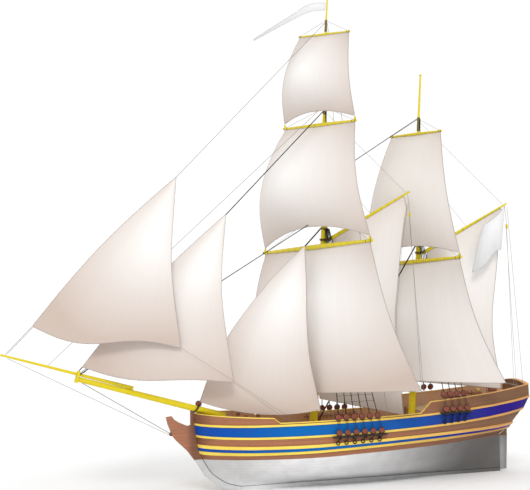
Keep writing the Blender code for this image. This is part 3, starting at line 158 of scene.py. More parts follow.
# Gaff sails. Columns: gaff, leech from the peak down, tack height, belly
GAFF_SAILS = {
    "main_trysail": ("main_gaff", ((-2.24, 2.20, 14.65), (-1.85, 1.80, 10.75), (-1.72, 1.52, 7.97),
                                   (-2.23, 1.20, 2.20)), 3.55, 0.55),
    "mizzen_spanker": ("mizzen_gaff", ((-9.30, 2.08, 14.4), (-9.10, 1.90, 12.2), (-8.73, 1.60, 7.87),
                                       (-9.33, 1.40, 3.62)), 4.30, 0.50),
}

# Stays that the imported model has. Columns: radius, points
STAYS = {
    "main_stay": (0.05, ((2.802, 14.963), (4.04, 13.72), (5.135, 12.616), (6.13, 11.511), (7.037, 10.407),
                         (7.942, 9.302), (8.839, 8.198), (9.635, 7.093), (10.325, 5.989), (10.961, 4.884),
                         (11.541, 3.78), (11.685, 3.536))),
    "main_topmast_stay": (0.035, ((2.398, 22.814), (19.516, 6.252))),
    "main_topgallant_stay": (0.02, ((2.033, 28.807), (24.24, 7.519))),
    "mizzen_stay": (0.05, ((-3.978, 13.618), (3.465, 2.021))),
    "bobstay": (0.03, ((13.56, 1.77), (19.35, 5.45))),
}

# Headsails. Columns: stay, head and tack heights, leech from the head down, belly, drop of the foot,
# and how much further the foot drops near the tack
HEADSAILS = {
    "flying_jib": ("main_topgallant_stay", (18.62, 9.25),
                   ((13.45, 1.30, 13.85), (13.50, 1.75, 11.10), (13.18, 2.00, 7.51)), 0.70, 0.35, 0.36),
    "inner_jib": ("main_topmast_stay", (16.06, 6.48),
                  ((10.15, 1.35, 12.30), (10.25, 1.80, 9.74), (9.80, 2.20, 5.12)), 0.75, 0.35, 0.20),
    "fore_staysail": ("main_stay", (13.80, 3.78),
                      ((4.58, 2.00, 11.30), (4.90, 2.85, 8.98), (4.80, 2.95, 6.36), (4.20, 2.95, 3.10)),
                      0.55, 0.55, 0.0),
}

# Flags: upper and lower edge from the hoist to the fly
FLAGS = {
    "pennant": (((1.945, 0.0, 30.16), (3.20, 0.30, 30.00), (4.70, 0.55, 29.15), (7.25, 0.60, 27.62)),
                ((1.995, 0.0, 29.66), (3.15, 0.30, 29.50), (4.60, 0.55, 28.87), (7.25, 0.60, 27.50))),
    "ensign": (((-9.69, 2.15, 16.07), (-8.85, 2.50, 15.35), (-8.25, 2.55, 14.98), (-7.90, 2.50, 14.86)),
               ((-9.22, 2.42, 13.12), (-8.75, 2.62, 13.02), (-8.05, 2.60, 12.25), (-6.98, 2.50, 11.62))),
}

# Where the light falls fullest on each sail: share across from the fore or starboard edge, share
# down from the head, and the two spreads
GLOW = {
    "main_course": (0.55, 0.34, 0.80, 0.66),
    "main_topsail": (0.44, 0.42, 0.86, 0.82),
    "main_topgallant_sail": (0.46, 0.42, 0.82, 0.74),
    "mizzen_course": (0.50, 0.40, 1.50, 1.15),
    "mizzen_topsail": (0.48, 0.42, 1.30, 1.05),
    "main_trysail": (0.52, 0.40, 1.20, 0.95),
    "mizzen_spanker": (0.50, 0.40, 1.60, 1.30),
    "flying_jib": (0.64, 0.27, 1.05, 0.72),
    "inner_jib": (0.58, 0.27, 1.10, 0.78),
    "fore_staysail": (0.55, 0.33, 1.05, 0.68),
}

# Shroud sets. Columns: first and last foot X, channel's aft and fore end, its edge Y there, channel
# height, masthead height, stick, and for each chain ring its X, Z and the hull's Y
SHROUD_SETS = {
    "main": (3.20, 0.21, (-0.13, 3.58), (3.4277, 3.4701), 1.31, 14.92, "main_lower",
             ((3.14, 0.935, 3.399), (2.566, 0.947, 3.404), (1.992, 0.960, 3.408), (1.418, 0.976, 3.406),
              (0.844, 0.992, 3.404), (0.27, 1.008, 3.401))),
    "mizzen": (-4.43, -6.06, (-6.40, -4.05), (3.0047, 3.2591), 2.40, 13.58, "mizzen_lower",
               ((-4.49, 1.834, 3.132), (-4.993, 1.864, 3.083), (-5.497, 1.895, 3.037), (-6.00, 1.931, 2.978))),
}
CHANNEL_DEPTH = 0.42
CHANNEL_THICK = 0.09
RATLINE_STEP = 0.42
RATLINES_CLEAR = (1.9, 2.6)
DEADEYES_UP = (0.26, 1.27)
SIDE_PLANKS = ("hull_topsides", "wale_lower", "wale_band", "wale_upper", "sheer_moulding", "sheer_band")

# Top of the bulwarks from the stern to the stem. Columns: X, outer Y, Z, inner Y
BULWARK_TOP = (
    (-11.055, 2.083, 3.850, 1.933), (-10.534, 2.210, 3.760, 2.063), (-9.584, 2.417, 3.623, 2.270),
    (-8.097, 2.683, 3.458, 2.534), (-5.963, 2.945, 3.287, 2.796), (-4.282, 3.076, 3.185, 2.927),
    (-3.493, 3.120, 3.146, 2.970), (-2.731, 3.193, 2.433, 3.043), (-0.714, 3.267, 2.368, 3.117),
    (1.647, 3.275, 2.329, 3.125), (4.001, 3.264, 2.320, 3.114), (5.647, 3.236, 2.326, 3.086),
    (6.988, 3.121, 2.341, 2.972), (7.388, 3.056, 2.677, 2.908), (8.706, 2.852, 2.762, 2.706),
    (9.737, 2.464, 2.836, 2.326), (10.552, 2.023, 2.897, 1.898), (11.200, 1.467, 2.949, 1.366),
    (11.638, 0.815, 2.985, 0.744), (11.935, 0.100, 3.010, 0.060),
)


def colour(text, red, green, blue):
    """A colour setting, given as it looks on a screen from 0 to 255."""
    shown = [value / 255 for value in (red, green, blue)]
    light = [v / 12.92 if v <= 0.04045 else ((v + 0.055) / 1.055) ** 2.4 for v in shown]
    return FloatVectorProperty(name=text, subtype="COLOR", size=3, min=0.0, max=1.0, default=light)


def length(text, metres):
    """A length setting in metres."""
    return FloatProperty(name=text, default=metres, min=0.0, unit="LENGTH")


class ShipColours(bpy.types.PropertyGroup):
    """Paint, wood, cloth and rope colours."""

    oak_fore: colour("Oiled planking at the bow", 174, 116, 86)
    oak_aft: colour("Oiled planking at the stern", 128, 94, 70)
    blue_fore: colour("Blue band at the bow", 4, 76, 174)
    blue_middle: colour("Blue band amidships", 0, 104, 184)
    blue_aft: colour("Blue band at the stern", 38, 8, 128)
    yellow_fore: colour("Yellow mouldings at the bow", 255, 226, 98)
    yellow_aft: colour("Yellow mouldings at the stern", 214, 158, 96)
    # The two bottom greys paint a metallic sheen: a painted highlight at the bow and painted shade at the stern.
    bottom_painted_highlight: colour("Bottom paint with a painted highlight at the bow", 246, 246, 247)
    bottom_painted_shade: colour("Bottom paint in painted shade at the stern", 98, 96, 94)
    spar: colour("Yellow paint on masts and yards", 228, 208, 24)
    deck: colour("Scrubbed deck planks", 206, 170, 124)
    # The two sailcloth colours are a painted highlight where the light falls fullest and painted shade toward the
    # edges.
    cloth_painted_highlight: colour("Sailcloth at its painted highlight", 252, 251, 249)
    cloth_edge_painted_shade: colour("Sailcloth in painted shade near its edges", 194, 174, 161)
    # The flags' cloth colour is their painted shade; their painted highlight is a pale grey set in cloth_material.
    bunting: colour("Cloth of the flags, in its painted shade", 206, 207, 208)
    tar: colour("Tarred standing rigging", 40, 38, 38)
    hemp: colour("Plain running rigging", 158, 150, 142)
    deadeye: colour("Wood of the deadeyes", 134, 66, 48)
    iron: colour("Blackened iron", 30, 30, 32)
    glass: colour("Stern window glass", 40, 52, 60)


class ShipSizes(bpy.types.PropertyGroup):
    """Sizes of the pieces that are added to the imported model."""

    cloth_thickness: length("Thickness of a sail with its seams", 0.012)
    cloth_width: length("Width of one strip of sailcloth", 0.61)
    bolt_rope: length("Radius of the rope round a sail", 0.028)
    line: length("Radius of the running rigging", 0.012)
    shroud: length("Radius of a shroud", 0.031)
    plank: length("Width of a hull plank", 0.235)
    deck_plank: length("Width of a deck plank", 0.16)
    cap_rail: length("Thickness of the cap rails", 0.055)
    deadeye: length("Radius of a deadeye", 0.19)
    grid: IntProperty(name="Faces along each side of a sail", default=36, min=8)
    camera_distance: length("From the ship's middle to the camera", 112.0)


def colours():
    """The ship's colour settings."""
    return bpy.context.scene.ship_colours


def sizes():
    """The ship's size settings."""
    return bpy.context.scene.ship_sizes


# Node trees


def put(tree, kind, values=None, **settings):
    """Adds a node. A value that is a socket is linked, and any other is set."""
    made = tree.nodes.new(kind)
    for key, value in settings.items():
        setattr(made, key, value)
    for key, value in (values or {}).items():
        if isinstance(value, bpy.types.NodeSocket):
            tree.links.new(value, made.inputs[key])
        else:
            made.inputs[key].default_value = value
    return made


def math_node(operation, first, second=0.0, third=0.0, clamp=False):
    """Output of a Math node."""
    values = {0: first, 1: second, 2: third}
    tree = next(value.id_data for value in (first, second) if isinstance(value, bpy.types.NodeSocket))
    return put(tree, "ShaderNodeMath", values, operation=operation, use_clamp=clamp).outputs[0]


def plus(first, second):
    """Sum of two values."""
    return math_node("ADD", first, second)


def minus(first, second):
    """First value less the second."""
    return math_node("SUBTRACT", first, second)


def times(first, second):
    """Product of two values."""
    return math_node("MULTIPLY", first, second)


def over(first, second, clamp=False):
    """First value divided by the second."""
    return math_node("DIVIDE", first, second, clamp=clamp)


def apart(place):
    """The three numbers of a vector."""
    return put(place.id_data, "ShaderNodeSeparateXYZ", {0: place}).outputs


def object_place(tree):
    """Place of a point in the object's own frame."""
    return put(tree, "ShaderNodeTexCoord").outputs["Object"]


def faced(tree):
    """Direction in which a face points, as three numbers."""
    return apart(put(tree, "ShaderNodeNewGeometry").outputs["True Normal"])


def drawn_out(place, amounts):
    """A place multiplied by its own amount along each axis."""
    return put(place.id_data, "ShaderNodeVectorMath", {0: place, 1: amounts}, operation="MULTIPLY").outputs[0]


def noise(place, scale, detail=2.0, roughness=0.5, distortion=0.0):
    """Output of a Noise Texture."""
    values = {"Vector": place, "Scale": scale, "Detail": detail, "Roughness": roughness, "Distortion": distortion}
    return put(place.id_data, "ShaderNodeTexNoise", values).outputs[0]


def by_number(value):
    """A tone from 0 to 1 that belongs to a whole number."""
    return put(value.id_data, "ShaderNodeTexWhiteNoise", {"W": value}, noise_dimensions="1D").outputs["Value"]


def ramp(value, low, high, out_low=0.0, out_high=1.0, smooth=True):
    """Maps a value from one range to another."""
    kind = "SMOOTHSTEP" if smooth else "LINEAR"
    values = {0: value, 1: low, 2: high, 3: out_low, 4: out_high}
    return put(value.id_data, "ShaderNodeMapRange", values, interpolation_type=kind).outputs[0]


def gloss(value, low, high):
    """Roughness that follows a pattern between two values."""
    return ramp(value, 0.3, 0.7, low, high)


def mix(factor, first, second):
    """Output of a colour mix."""
    ends = [value if isinstance(value, bpy.types.NodeSocket) else (*value[:3], 1.0) for value in (first, second)]
    return put(factor.id_data, "ShaderNodeMix", {0: factor, 6: ends[0], 7: ends[1]}, data_type="RGBA").outputs[2]


def between(factor, first, second):
    """Goes from one surface to another, each given as colour, roughness and height."""
    numbers = [put(factor.id_data, "ShaderNodeMix", {0: factor, 2: a, 3: b}, data_type="FLOAT").outputs[0]
               for a, b in zip(first[1:], second[1:])]
    return (mix(factor, first[0], second[0]), *numbers)


def start_group(name, inputs):
    """An empty shader group: its tree, and its inputs, given as names with their defaults."""
    tree = bpy.data.node_groups.new(name, "ShaderNodeTree")
    for label, default in inputs.items():
        tree.interface.new_socket(label, in_out="INPUT", socket_type="NodeSocketFloat").default_value = default
    return tree, tree.nodes.new("NodeGroupInput").outputs


def end_group(tree, results):
    """Gives a shader group its outputs, each with the value that feeds it."""
    for label in results:
        tree.interface.new_socket(label, in_out="OUTPUT", socket_type="NodeSocketFloat")
    sink = tree.nodes.new("NodeGroupOutput")
    for label, socket in results.items():
        tree.links.new(socket, sink.inputs[label])
    return tree


FULL_TURN = 6.2832
SHEER_LOWEST_X = 4.0
SHEER_AFT_RUN, SHEER_AFT_RISE = 15.9, 0.80
SHEER_FORE_RUN, SHEER_FORE_RISE = 8.0, 0.16


def hull_run_group():
    """Where a point of the hull is: share along it, and height above the sheer and the paint line."""
    tree, _ = start_group("hull_run", {})
    x, y, z = apart(object_place(tree))
    aft = over(minus(SHEER_LOWEST_X, x), SHEER_AFT_RUN, True)
    fore = over(minus(x, SHEER_LOWEST_X), SHEER_FORE_RUN, True)
    sheer = plus(times(math_node("POWER", aft, 2.0), SHEER_AFT_RISE),
                 times(math_node("POWER", fore, 2.0), SHEER_FORE_RISE))
    paint = plus(ramp(x, 4.0, -3.5, 0.0, 0.36), ramp(x, -3.5, -9.7, 0.0, -0.13, False))
    return end_group(tree, {"Along": ramp(x, -12.0, 12.0, smooth=False), "Height": minus(z, sheer),
                            "Above Paint": minus(z, paint), "Metres": x, "Across": y})


def plank_group():
    """Seams between planks and their butts, with a tone for each plank."""
    tree, given = start_group("planks", {"Rows": 0.0, "Run": 0.0, "Width": 0.24, "Length": 4.5, "Seam": 0.05})
    rows = over(given["Rows"], given["Width"])
    row = math_node("FLOOR", rows)
    run = plus(over(given["Run"], given["Length"]), by_number(row))
    plank = put(tree, "ShaderNodeCombineXYZ", {0: row, 1: math_node("FLOOR", run)}).outputs[0]
    tone = put(tree, "ShaderNodeTexWhiteNoise", {"Vector": plank}, noise_dimensions="3D").outputs["Value"]

    def gap(value, width):
        part = math_node("FRACT", value)
        return ramp(math_node("MINIMUM", part, minus(1.0, part)), 0.0, width, 1.0, 0.0)

    butt_width = times(over(given["Width"], given["Length"]), given["Seam"])
    seam = math_node("MAXIMUM", gap(rows, given["Seam"]), gap(run, butt_width))
    return end_group(tree, {"Seam": seam, "Tone": tone, "Height": minus(1.0, seam)})


def grain_group():
    """Long wood grain along X, or along Z where Upright is 1, with fine streaks and blotches."""
    tree, given = start_group("grain", {"Scale": 1.0, "Upright": 0.0})
    place = object_place(tree)
    level, tall = drawn_out(place, (1.2, 16.0, 16.0)), drawn_out(place, (16.0, 16.0, 1.2))
    chosen = put(tree, "ShaderNodeMix", {0: given["Upright"], 4: level, 5: tall}, data_type="VECTOR").outputs[1]
    return end_group(tree, {"Streaks": noise(chosen, given["Scale"], 6.0, 0.62, 0.4),
                            "Blotches": noise(place, 0.9, 4.0, 0.6)})


def wear_group():
    """Scuffs and worn spots, more of them where Amount is higher."""
    tree, given = start_group("wear", {"Amount": 0.3, "Scale": 7.0})
    speckle = noise(drawn_out(object_place(tree), (0.35, 1.0, 1.4)), given["Scale"], 8.0, 0.7)
    limit = minus(0.80, times(given["Amount"], 0.35))
    return end_group(tree, {"Mask": ramp(speckle, limit, plus(limit, 0.12))})


def cloth_group():
    """Sailcloth: strips sewn side by side, weave and soft creases, read from the metre UV map."""
    tree, given = start_group("sailcloth_weave", {"Strip": 0.61, "Weave": 0.02})
    sewn = put(tree, "ShaderNodeUVMap", uv_map="cloth").outputs[0]
    across, down, _ = apart(sewn)
    strips = over(across, given["Strip"])
    part = math_node("FRACT", strips)
    seam = ramp(part, 0.0, 0.07, 1.0, 0.0)
    stitched = times(ramp(part, 0.05, 0.07), ramp(part, 0.07, 0.09, 1.0, 0.0))
    warp, weft = [math_node("SINE", over(times(run, FULL_TURN), given["Weave"]))
                  for run in (across, down)]
    weave = times(times(warp, weft), 0.03)
    raised = plus(plus(times(seam, 0.25), weave), times(noise(sewn, 0.55, 3.0), 2.0))
    return end_group(tree, {"Seam": plus(times(seam, 0.5), stitched), "Height": raised,
                            "Tone": by_number(math_node("FLOOR", strips))})


def lay_group():
    """The slanting strands of a laid rope, read from its own map along and round the rope."""
    tree, given = start_group("rope_lay", {"Turns": 5.0})
    along, around, _ = apart(put(tree, "ShaderNodeUVMap", uv_map="rope").outputs[0])
    turning = plus(times(along, given["Turns"]), times(around, 3.0))
    wave = math_node("SINE", times(turning, FULL_TURN))
    return end_group(tree, {"Strand": math_node("MULTIPLY_ADD", wave, 0.5, 0.5),
                            "Fibre": noise(object_place(tree), 60.0, 3.0)})


GROUP_MAKERS = {"hull_run": hull_run_group, "planks": plank_group, "grain": grain_group, "wear": wear_group,
                "sailcloth_weave": cloth_group, "rope_lay": lay_group}


def group(tree, name, values=None):
    """Places a shared effect in a material and gives its outputs."""
    shared = bpy.data.node_groups.get(name) or GROUP_MAKERS[name]()
    return put(tree, "ShaderNodeGroup", values, node_tree=shared).outputs


def finish_material(name, build, bump, distance, shine=0.5, **plain):
    """A material whose build gives colour, roughness and height; plain values go on the shader."""
    found = bpy.data.materials.get(name)
    if found:
        return found
    made = bpy.data.materials.new(name)
    made.use_nodes = True
    tree = made.node_tree
    shader = tree.nodes["Principled BSDF"]
    shader.inputs["Specular IOR Level"].default_value = shine
    for key, value in plain.items():
        shader.inputs[key.replace("_", " ").title()].default_value = value
    base, roughness, height = build(tree)
    tree.links.new(base, shader.inputs["Base Color"])
    tree.links.new(roughness, shader.inputs["Roughness"])
    raised = put(tree, "ShaderNodeBump", {"Strength": bump, "Distance": distance, "Height": height})
    tree.links.new(raised.outputs[0], shader.inputs["Normal"])
    return made


def run_colour(along, fore, aft, middle=None):
    """A colour that changes from the bow to the stern."""
    if middle is None:
        return mix(ramp(along, 0.05, 0.75), aft, fore)
    near_bow = mix(ramp(along, 0.72, 1.0), middle, fore)
    return mix(ramp(along, 0.06, 0.70), aft, near_bow)


def hull_planks(tree, run):
    """Planks that follow the sheer."""
    return group(tree, "planks", {"Rows": run["Height"], "Run": run["Metres"], "Width": sizes().plank})


def oak_planks(tree):
    """Oak planks with caulked seams, grain and scuffs."""
    pick = colours()
    run = group(tree, "hull_run")
    planks = hull_planks(tree, run)
    grain = group(tree, "grain", {"Scale": 1.0})
    base = run_colour(run["Along"], pick.oak_fore, pick.oak_aft)
    toned = mix(ramp(planks["Tone"], 0.0, 1.0, 0.0, 0.16, False), base, (0.10, 0.055, 0.03))
    streaked = mix(ramp(grain["Streaks"], 0.45, 0.75, 0.0, 0.22), toned, (0.09, 0.045, 0.025))
    # Painted shade on the planking close to the stem, strongest at the rabbet.
    stem_painted_shade = times(ramp(run["Metres"], 10.9, 12.0, 0.0, 0.6),
                      ramp(run["Metres"], 12.1, 12.7, 1.0, 0.0))
    streaked = mix(stem_painted_shade, streaked, (0.085, 0.035, 0.02))
    seamed = mix(times(planks["Seam"], 0.5), streaked, (0.03, 0.02, 0.015))
    height = plus(times(planks["Height"], 0.8), times(grain["Streaks"], 0.25))
    return seamed, gloss(grain["Blotches"], 0.42, 0.62), height


def painted(tree, base, wear=0.25):
    """Paint over planks: faint seams, brush streaks and worn spots."""
    grain = group(tree, "grain", {"Scale": 1.4})
    worn = group(tree, "wear", {"Amount": wear})["Mask"]
    shaded = mix(ramp(grain["Blotches"], 0.35, 0.7, 0.0, 0.12), base, (0.05, 0.04, 0.04))
    scuffed = mix(times(worn, 0.30), shaded, (0.25, 0.14, 0.08))
    planks = hull_planks(tree, group(tree, "hull_run"))
    height = plus(times(grain["Streaks"], 0.4), times(planks["Height"], 0.5))
    seamed = mix(times(planks["Seam"], 0.14), scuffed, (0.03, 0.02, 0.02))
    return seamed, gloss(grain["Streaks"], 0.30, 0.46), height


def oak_material():
    """Oiled oak of the bulwarks and the transom, painted paler on the side that faces the deck as painted light that
    lifts the shade there.
    """

    def build(tree):
        wood, roughness, height = oak_planks(tree)
        outward = times(faced(tree)[1], group(tree, "hull_run")["Across"])
        # Painted light: faces that look inboard are mixed toward a pale oak.
        inside = ramp(outward, -0.6, -0.1, 0.72, 0.0)
        return mix(inside, wood, (0.86, 0.56, 0.36)), roughness, height

    return finish_material("oak_planking", build, 0.45, 0.012, 0.14)


def topsides_material():
    """Oiled planking on the sides and scrubbed planks on the open deck."""

    def build(tree):
        level = ramp(faced(tree)[2], 0.80, 0.90, smooth=False)
        return between(level, oak_planks(tree), deck_planks(tree))

    return finish_material("topside_planking", build, 0.45, 0.012, 0.14)


def band_material(name, fore, aft, middle=None):
    """Painted band or moulding that changes colour along the hull."""

    def build(tree):
        run = group(tree, "hull_run")
        return painted(tree, run_colour(run["Along"], fore, aft, middle))

    return finish_material(name, build, 0.25, 0.008, 0.10, coat_weight=0.03, coat_roughness=0.25)


def yellow_moulding():
    """Yellow paint of the mouldings, the cap rails and the window frames."""
    return band_material("yellow_moulding", colours().yellow_fore, colours().yellow_aft)


def bottom_colour(run):
    """Grey of the bottom as a painted sheen: a painted highlight forward and painted shade aft, painted light low
    down forward, painted shade on the rudder's fore edge and a little at the stem.
    """
    pick = colours()
    x = run["Metres"]
    middle = mix(ramp(x, -8.4, 6.2), pick.bottom_painted_shade, pick.bottom_painted_highlight)
    # Painted light: the low strakes forward are lifted toward pale grey against the shade under the bilge.
    low = times(ramp(run["Above Paint"], -0.8, -2.1), ramp(x, -7.0, 2.5))
    middle = mix(times(low, 0.8), middle, (0.93, 0.93, 0.93))
    # Painted shade on the rudder's fore edge, fading aft across the rudder.
    rudder_edge_painted_shade = times(ramp(x, -9.62, -9.66), ramp(x, -10.5, -9.7))
    middle = mix(times(rudder_edge_painted_shade, 0.7), middle, (0.42, 0.42, 0.42))
    # Painted shade toward the stem.
    return mix(ramp(x, 6.4, 12.0, 0.0, 0.72), middle, (0.46, 0.46, 0.46))


def bottom_material(name="bottom_paint", with_oak=False):
    """Bottom paint with faint plank seams, and oak above the paint line where asked."""

    def build(tree):
        run = group(tree, "hull_run")
        paint = painted(tree, bottom_colour(run), 0.0)
        if not with_oak:
            return paint
        return between(ramp(run["Above Paint"], -0.01, 0.01, smooth=False), paint, oak_planks(tree))

    return finish_material(name, build, 0.22, 0.008, 0.3, coat_weight=0.08, coat_roughness=0.3)


def spar_material(name="spar_paint", upright=0.0):
    """Glossy yellow paint over a turned spar, with long checks in the wood."""

    def build(tree):
        grain = group(tree, "grain", {"Scale": 1.0, "Upright": upright})
        base = mix(ramp(grain["Blotches"], 0.3, 0.72, 0.0, 0.22), colours().spar, (0.50, 0.40, 0.02))
        checks = ramp(grain["Streaks"], 0.60, 0.78, 0.0, 0.35)
        checked = mix(checks, base, (0.22, 0.15, 0.03))
        return checked, gloss(grain["Streaks"], 0.30, 0.48), grain["Streaks"]

    return finish_material(name, build, 0.18, 0.006, 0.25, coat_weight=0.08, coat_roughness=0.25)


def deck_planks(tree):
    """Scrubbed planks with dark caulking, laid fore and aft."""
    run = group(tree, "hull_run")
    planks = group(tree, "planks", {"Rows": run["Across"], "Run": run["Metres"], "Width": sizes().deck_plank,
                                    "Length": 5.0, "Seam": 0.06})
    grain = group(tree, "grain", {"Scale": 1.6})
    toned = mix(ramp(planks["Tone"], 0.0, 1.0, 0.0, 0.30, False), colours().deck, (0.30, 0.20, 0.11))
    streaked = mix(ramp(grain["Streaks"], 0.42, 0.75, 0.0, 0.30), toned, (0.24, 0.15, 0.08))
    seamed = mix(times(planks["Seam"], 0.85), streaked, (0.02, 0.018, 0.016))
    return seamed, gloss(grain["Blotches"], 0.60, 0.78), planks["Height"]


def deck_material():
    """Deck of the forecastle and the quarterdeck."""
    return finish_material("deck_planking", deck_planks, 0.4, 0.008)


def joinery_material(name="joinery", base=None):
    """Varnished joinery of hatches, rails and small fittings."""

    def build(tree):
        grain = group(tree, "grain", {"Scale": 2.2})
        worn = group(tree, "wear", {"Amount": 0.35, "Scale": 9.0})["Mask"]
        tone = base or colours().oak_fore
        streaked = mix(ramp(grain["Streaks"], 0.4, 0.72, 0.0, 0.35), tone, (0.10, 0.05, 0.03))
        scuffed = mix(times(worn, 0.35), streaked, (0.42, 0.28, 0.17))
        return scuffed, gloss(grain["Streaks"], 0.34, 0.55), grain["Streaks"]

    return finish_material(name, build, 0.25, 0.005, 0.3, coat_weight=0.08, coat_roughness=0.3)


def cloth_material(name):
    """Sailcloth or bunting, with a painted highlight where the light falls fullest and warmer painted shade toward
    its edges.
    """
    flag = name == "bunting"

    def build(tree):
        pick = colours()
        cloth = group(tree, "sailcloth_weave", {"Strip": 0.5 if flag else sizes().cloth_width})
        # Painted light and shade: the glow attribute mixes the cloth from its painted shade up to its painted
        # highlight, a pale grey for the flags.
        glow = put(tree, "ShaderNodeAttribute", attribute_name="glow").outputs["Fac"]
        low, high = (pick.bunting, (0.86, 0.86, 0.88)) if flag else (pick.cloth_edge_painted_shade, pick.cloth_painted_highlight)
        base = mix(glow, low, high)
        toned = mix(times(cloth["Tone"], 0.03), base, (0.55, 0.47, 0.40))
        sewn = mix(times(cloth["Seam"], 0.05 if flag else 0.09), toned, (0.40, 0.34, 0.30))
        return sewn, ramp(cloth["Tone"], 0.0, 1.0, 0.80, 0.92, False), cloth["Height"]

    return finish_material(name, build, 0.35, 0.012, sheen_weight=0.15, sheen_roughness=0.5, shine=0.15)


def rope_material(name, base, turns):
    """Laid rope: strands with painted shade in the darker furrows between them."""

    def build(tree):
        lay = group(tree, "rope_lay", {"Turns": turns})
        # Painted shade: the furrows between strands drop to about a third of the rope's colour.
        toned = mix(ramp(lay["Strand"], 0.05, 0.6), [value * 0.35 for value in base], base)
        pale = [min(1.0, value * 1.7 + 0.01) for value in base]
        fuzz = mix(ramp(lay["Fibre"], 0.4, 0.7, 0.0, 0.25), toned, pale)
        return fuzz, gloss(lay["Fibre"], 0.55, 0.8), lay["Strand"]

    return finish_material(name, build, 0.6, 0.006, 0.3)


def tarred():
    """Tarred rope."""
    return rope_material("tarred_rope", list(colours().tar), 2.2)


def hemp():
    """Plain rope."""
    return rope_material("hemp_rope", list(colours().hemp), 6.0)


def served():
    """Brown-green serving wound round a masthead."""
    return rope_material("serving", [0.28, 0.235, 0.05], 6.0)


def iron_material():
    """Blackened iron with a little rust."""

    def build(tree):
        worn = group(tree, "wear", {"Amount": 0.5, "Scale": 14.0})["Mask"]
        grain = group(tree, "grain", {"Scale": 3.0})
        base = mix(times(worn, 0.35), colours().iron, (0.16, 0.07, 0.035))
        return base, gloss(grain["Blotches"], 0.38, 0.6), grain["Streaks"]

    return finish_material("iron", build, 0.3, 0.003, metallic=0.7)


def black_paint():
    """Black paint of the channels."""
    return joinery_material("black_paint", (0.012, 0.011, 0.012))


def deadeye_wood():
    """Red-brown wood of deadeyes, hearts and blocks."""
    return joinery_material("deadeye_wood", list(colours().deadeye))


def brass_material():
    """Brass of the bell and the binnacle's hood."""

    def build(tree):
        grain = group(tree, "grain", {"Scale": 2.0})
        base = mix(ramp(grain["Blotches"], 0.35, 0.7, 0.0, 0.5), (0.68, 0.44, 0.14), (0.30, 0.20, 0.08))
        return base, gloss(grain["Streaks"], 0.22, 0.4), grain["Streaks"]

    return finish_material("brass", build, 0.1, 0.002, metallic=1.0)


def glass_material():
    """Dark old window panes, slightly uneven."""

    def build(tree):
        waves = noise(object_place(tree), 5.0)
        base = mix(ramp(waves, 0.35, 0.65), colours().glass, (0.06, 0.08, 0.10))
        return base, gloss(waves, 0.06, 0.14), waves

    return finish_material("window_glass", build, 0.1, 0.004, 0.8)


# Geometry Nodes


def geometry_tree(name, inputs):
    """A Geometry Nodes tree with inputs given as (name, kind, default): its tree, inputs and sink."""
    tree = bpy.data.node_groups.new(name, "GeometryNodeTree")
    tree.interface.new_socket("Geometry", in_out="INPUT", socket_type="NodeSocketGeometry")
    for label, kind, default in inputs:
        socket = tree.interface.new_socket(label, in_out="INPUT", socket_type=f"NodeSocket{kind}")
        if default is not None:
            socket.default_value = default
    tree.interface.new_socket("Geometry", in_out="OUTPUT", socket_type="NodeSocketGeometry")
    return tree, tree.nodes.new("NodeGroupInput").outputs, tree.nodes.new("NodeGroupOutput")


def end_tree(tree, sink, geometry, material):
    """Ends a tree in Realize Instances and Set Material."""
    real = put(tree, "GeometryNodeRealizeInstances", {0: geometry})
    dressed = put(tree, "GeometryNodeSetMaterial", {"Geometry": real.outputs[0], "Material": material})
    shaded = put(tree, "GeometryNodeSetShadeSmooth", {0: dressed.outputs[0], "Shade Smooth": True})
    tree.links.new(shaded.outputs[0], sink.inputs[0])


def kept_value(tree, geometry, label, value):
    """Keeps a value on the points of a geometry: gives both under their names."""
    kept = put(tree, "GeometryNodeCaptureAttribute", domain="POINT")
    kept.capture_items.new("FLOAT", label)
    tree.links.new(geometry, kept.inputs["Geometry"])
    tree.links.new(value, kept.inputs[label])
    return kept.outputs


